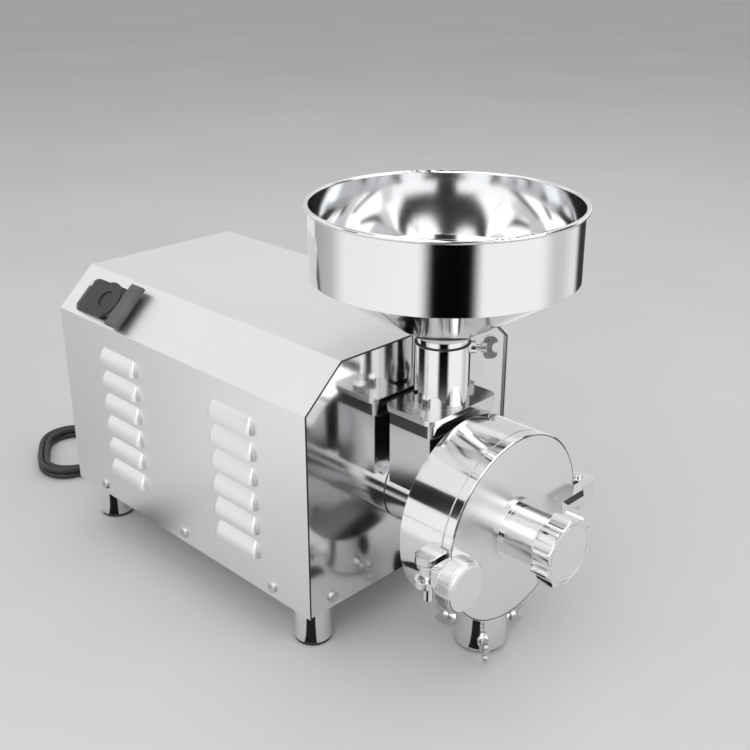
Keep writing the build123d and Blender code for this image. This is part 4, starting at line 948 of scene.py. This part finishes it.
def make_studio():
    """Floor, surroundings and soft lights, and the rings and cards that polished metal mirrors."""
    make_floor()
    make_world()
    for lamp in LAMPS:
        area_light(*lamp)
    inner, outer = FLOOR_RING
    studio_ring("stage_floor_ring", FLOOR_TONES, (inner, FLOOR_RING_HEIGHT), (outer, FLOOR_RING_HEIGHT),
                FLOOR_RING_FADE)
    for number, (centre, bearings, radii) in enumerate(FLOOR_CARDS, start=1):
        floor_card(f"stage_floor_card_{number}", centre, bearings, radii)
    drum_card()
    for number, (aside, width) in enumerate(TOP_CARDS, start=1):
        top_card(f"stage_top_card_{number}", aside, width)
    low, high = WALL_RING_HEIGHTS
    studio_ring("stage_wall_ring", WALL_TONES, (WALL_RING_RADIUS, low), (WALL_RING_RADIUS, high),
                WALL_RING_FADE)


def turned_piece(name, profile, axis_place, material):
    """A piece turned round a line along X: its profile is how far behind the rear panel, and how far out."""
    form = bmesh.new()
    rows = []
    for back, radius in profile:
        rows.append([form.verts.new((REAR_PANEL_X - back, axis_place[0] + radius * math.cos(a),
                                     axis_place[1] + radius * math.sin(a)))
                     for a in circle_angles(TURN_STEPS)])
    for here, there in zip(rows, rows[1:]):
        join_rows(form, here, there)
    form.faces.new(list(reversed(rows[0])))
    form.faces.new(rows[-1])
    bmesh.ops.recalc_face_normals(form, faces=form.faces)
    piece = mesh_object(name, form, material)
    piece.data.shade_smooth()
    piece.data.set_sharp_from_angle(angle=math.radians(SMOOTH_ANGLE))
    return piece


def relief_profile():
    """The strain relief's outline: a flange, then a taper cut by grooves."""
    profile = list(RELIEF_FLANGE)
    start, end = RELIEF_START, RELIEF_END
    for rib in range(RELIEF_RIBS):
        for share, cut in RELIEF_RIB:
            along = (rib + share) / RELIEF_RIBS
            back = start[0] + (end[0] - start[0]) * along
            groove = cut * RELIEF_GROOVE * (1.0 - RELIEF_SHRINK * along)
            radius = start[1] + (end[1] - start[1]) * along - groove
            profile.append((back, radius))
    return profile


def make_strain_relief(material):
    """The ribbed, tapered strain relief of the mains cord."""
    piece = turned_piece("strain_relief", relief_profile(), GLAND_PLACE, material)
    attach(piece, "root")
    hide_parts("cord_gland")


def make_spout_shadow_ring(material):
    """The thin black ring on the feed tube's top edge, round the hopper's spout: painted shadow in the gap
    where the spout enters the tube.
    """
    form = bmesh.new()
    rows = []
    for turn in circle_angles(SHADOW_RING_STEPS):
        row = []
        for angle in circle_angles(SHADOW_RING_SIDES):
            out = SHADOW_RING_RADIUS + SHADOW_RING_THICKNESS * math.cos(angle)
            up = TUBE_TOP_Z + SHADOW_RING_THICKNESS * (SHADOW_RING_LIFT + math.sin(angle))
            row.append(form.verts.new((FEED_X + out * math.cos(turn), out * math.sin(turn), up)))
        rows.append(row)
    for here, there in zip(rows, rows[1:] + rows[:1]):
        for side in range(SHADOW_RING_SIDES):
            after = (side + 1) % SHADOW_RING_SIDES
            form.faces.new((here[side], there[side], there[after], here[after]))
    bmesh.ops.recalc_face_normals(form, faces=form.faces)
    # The ring is painted shadow between the hopper's spout and the feed tube
    seal = mesh_object("spout_shadow_ring", form, material)
    seal.data.shade_smooth()
    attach(seal, "root")


def main():
    """The whole scene: camera, cord, finishes, small pieces and studio."""
    bpy.context.scene.view_settings.view_transform = "Standard"
    make_camera()
    materials = make_materials()
    make_cord(materials["cord"])
    dress_nodes(materials)
    make_strain_relief(materials["black_rubber"])
    # A black ring of painted shadow where the hopper's spout enters the feed tube
    make_spout_shadow_ring(materials["black_rubber"])
    make_studio()


main()
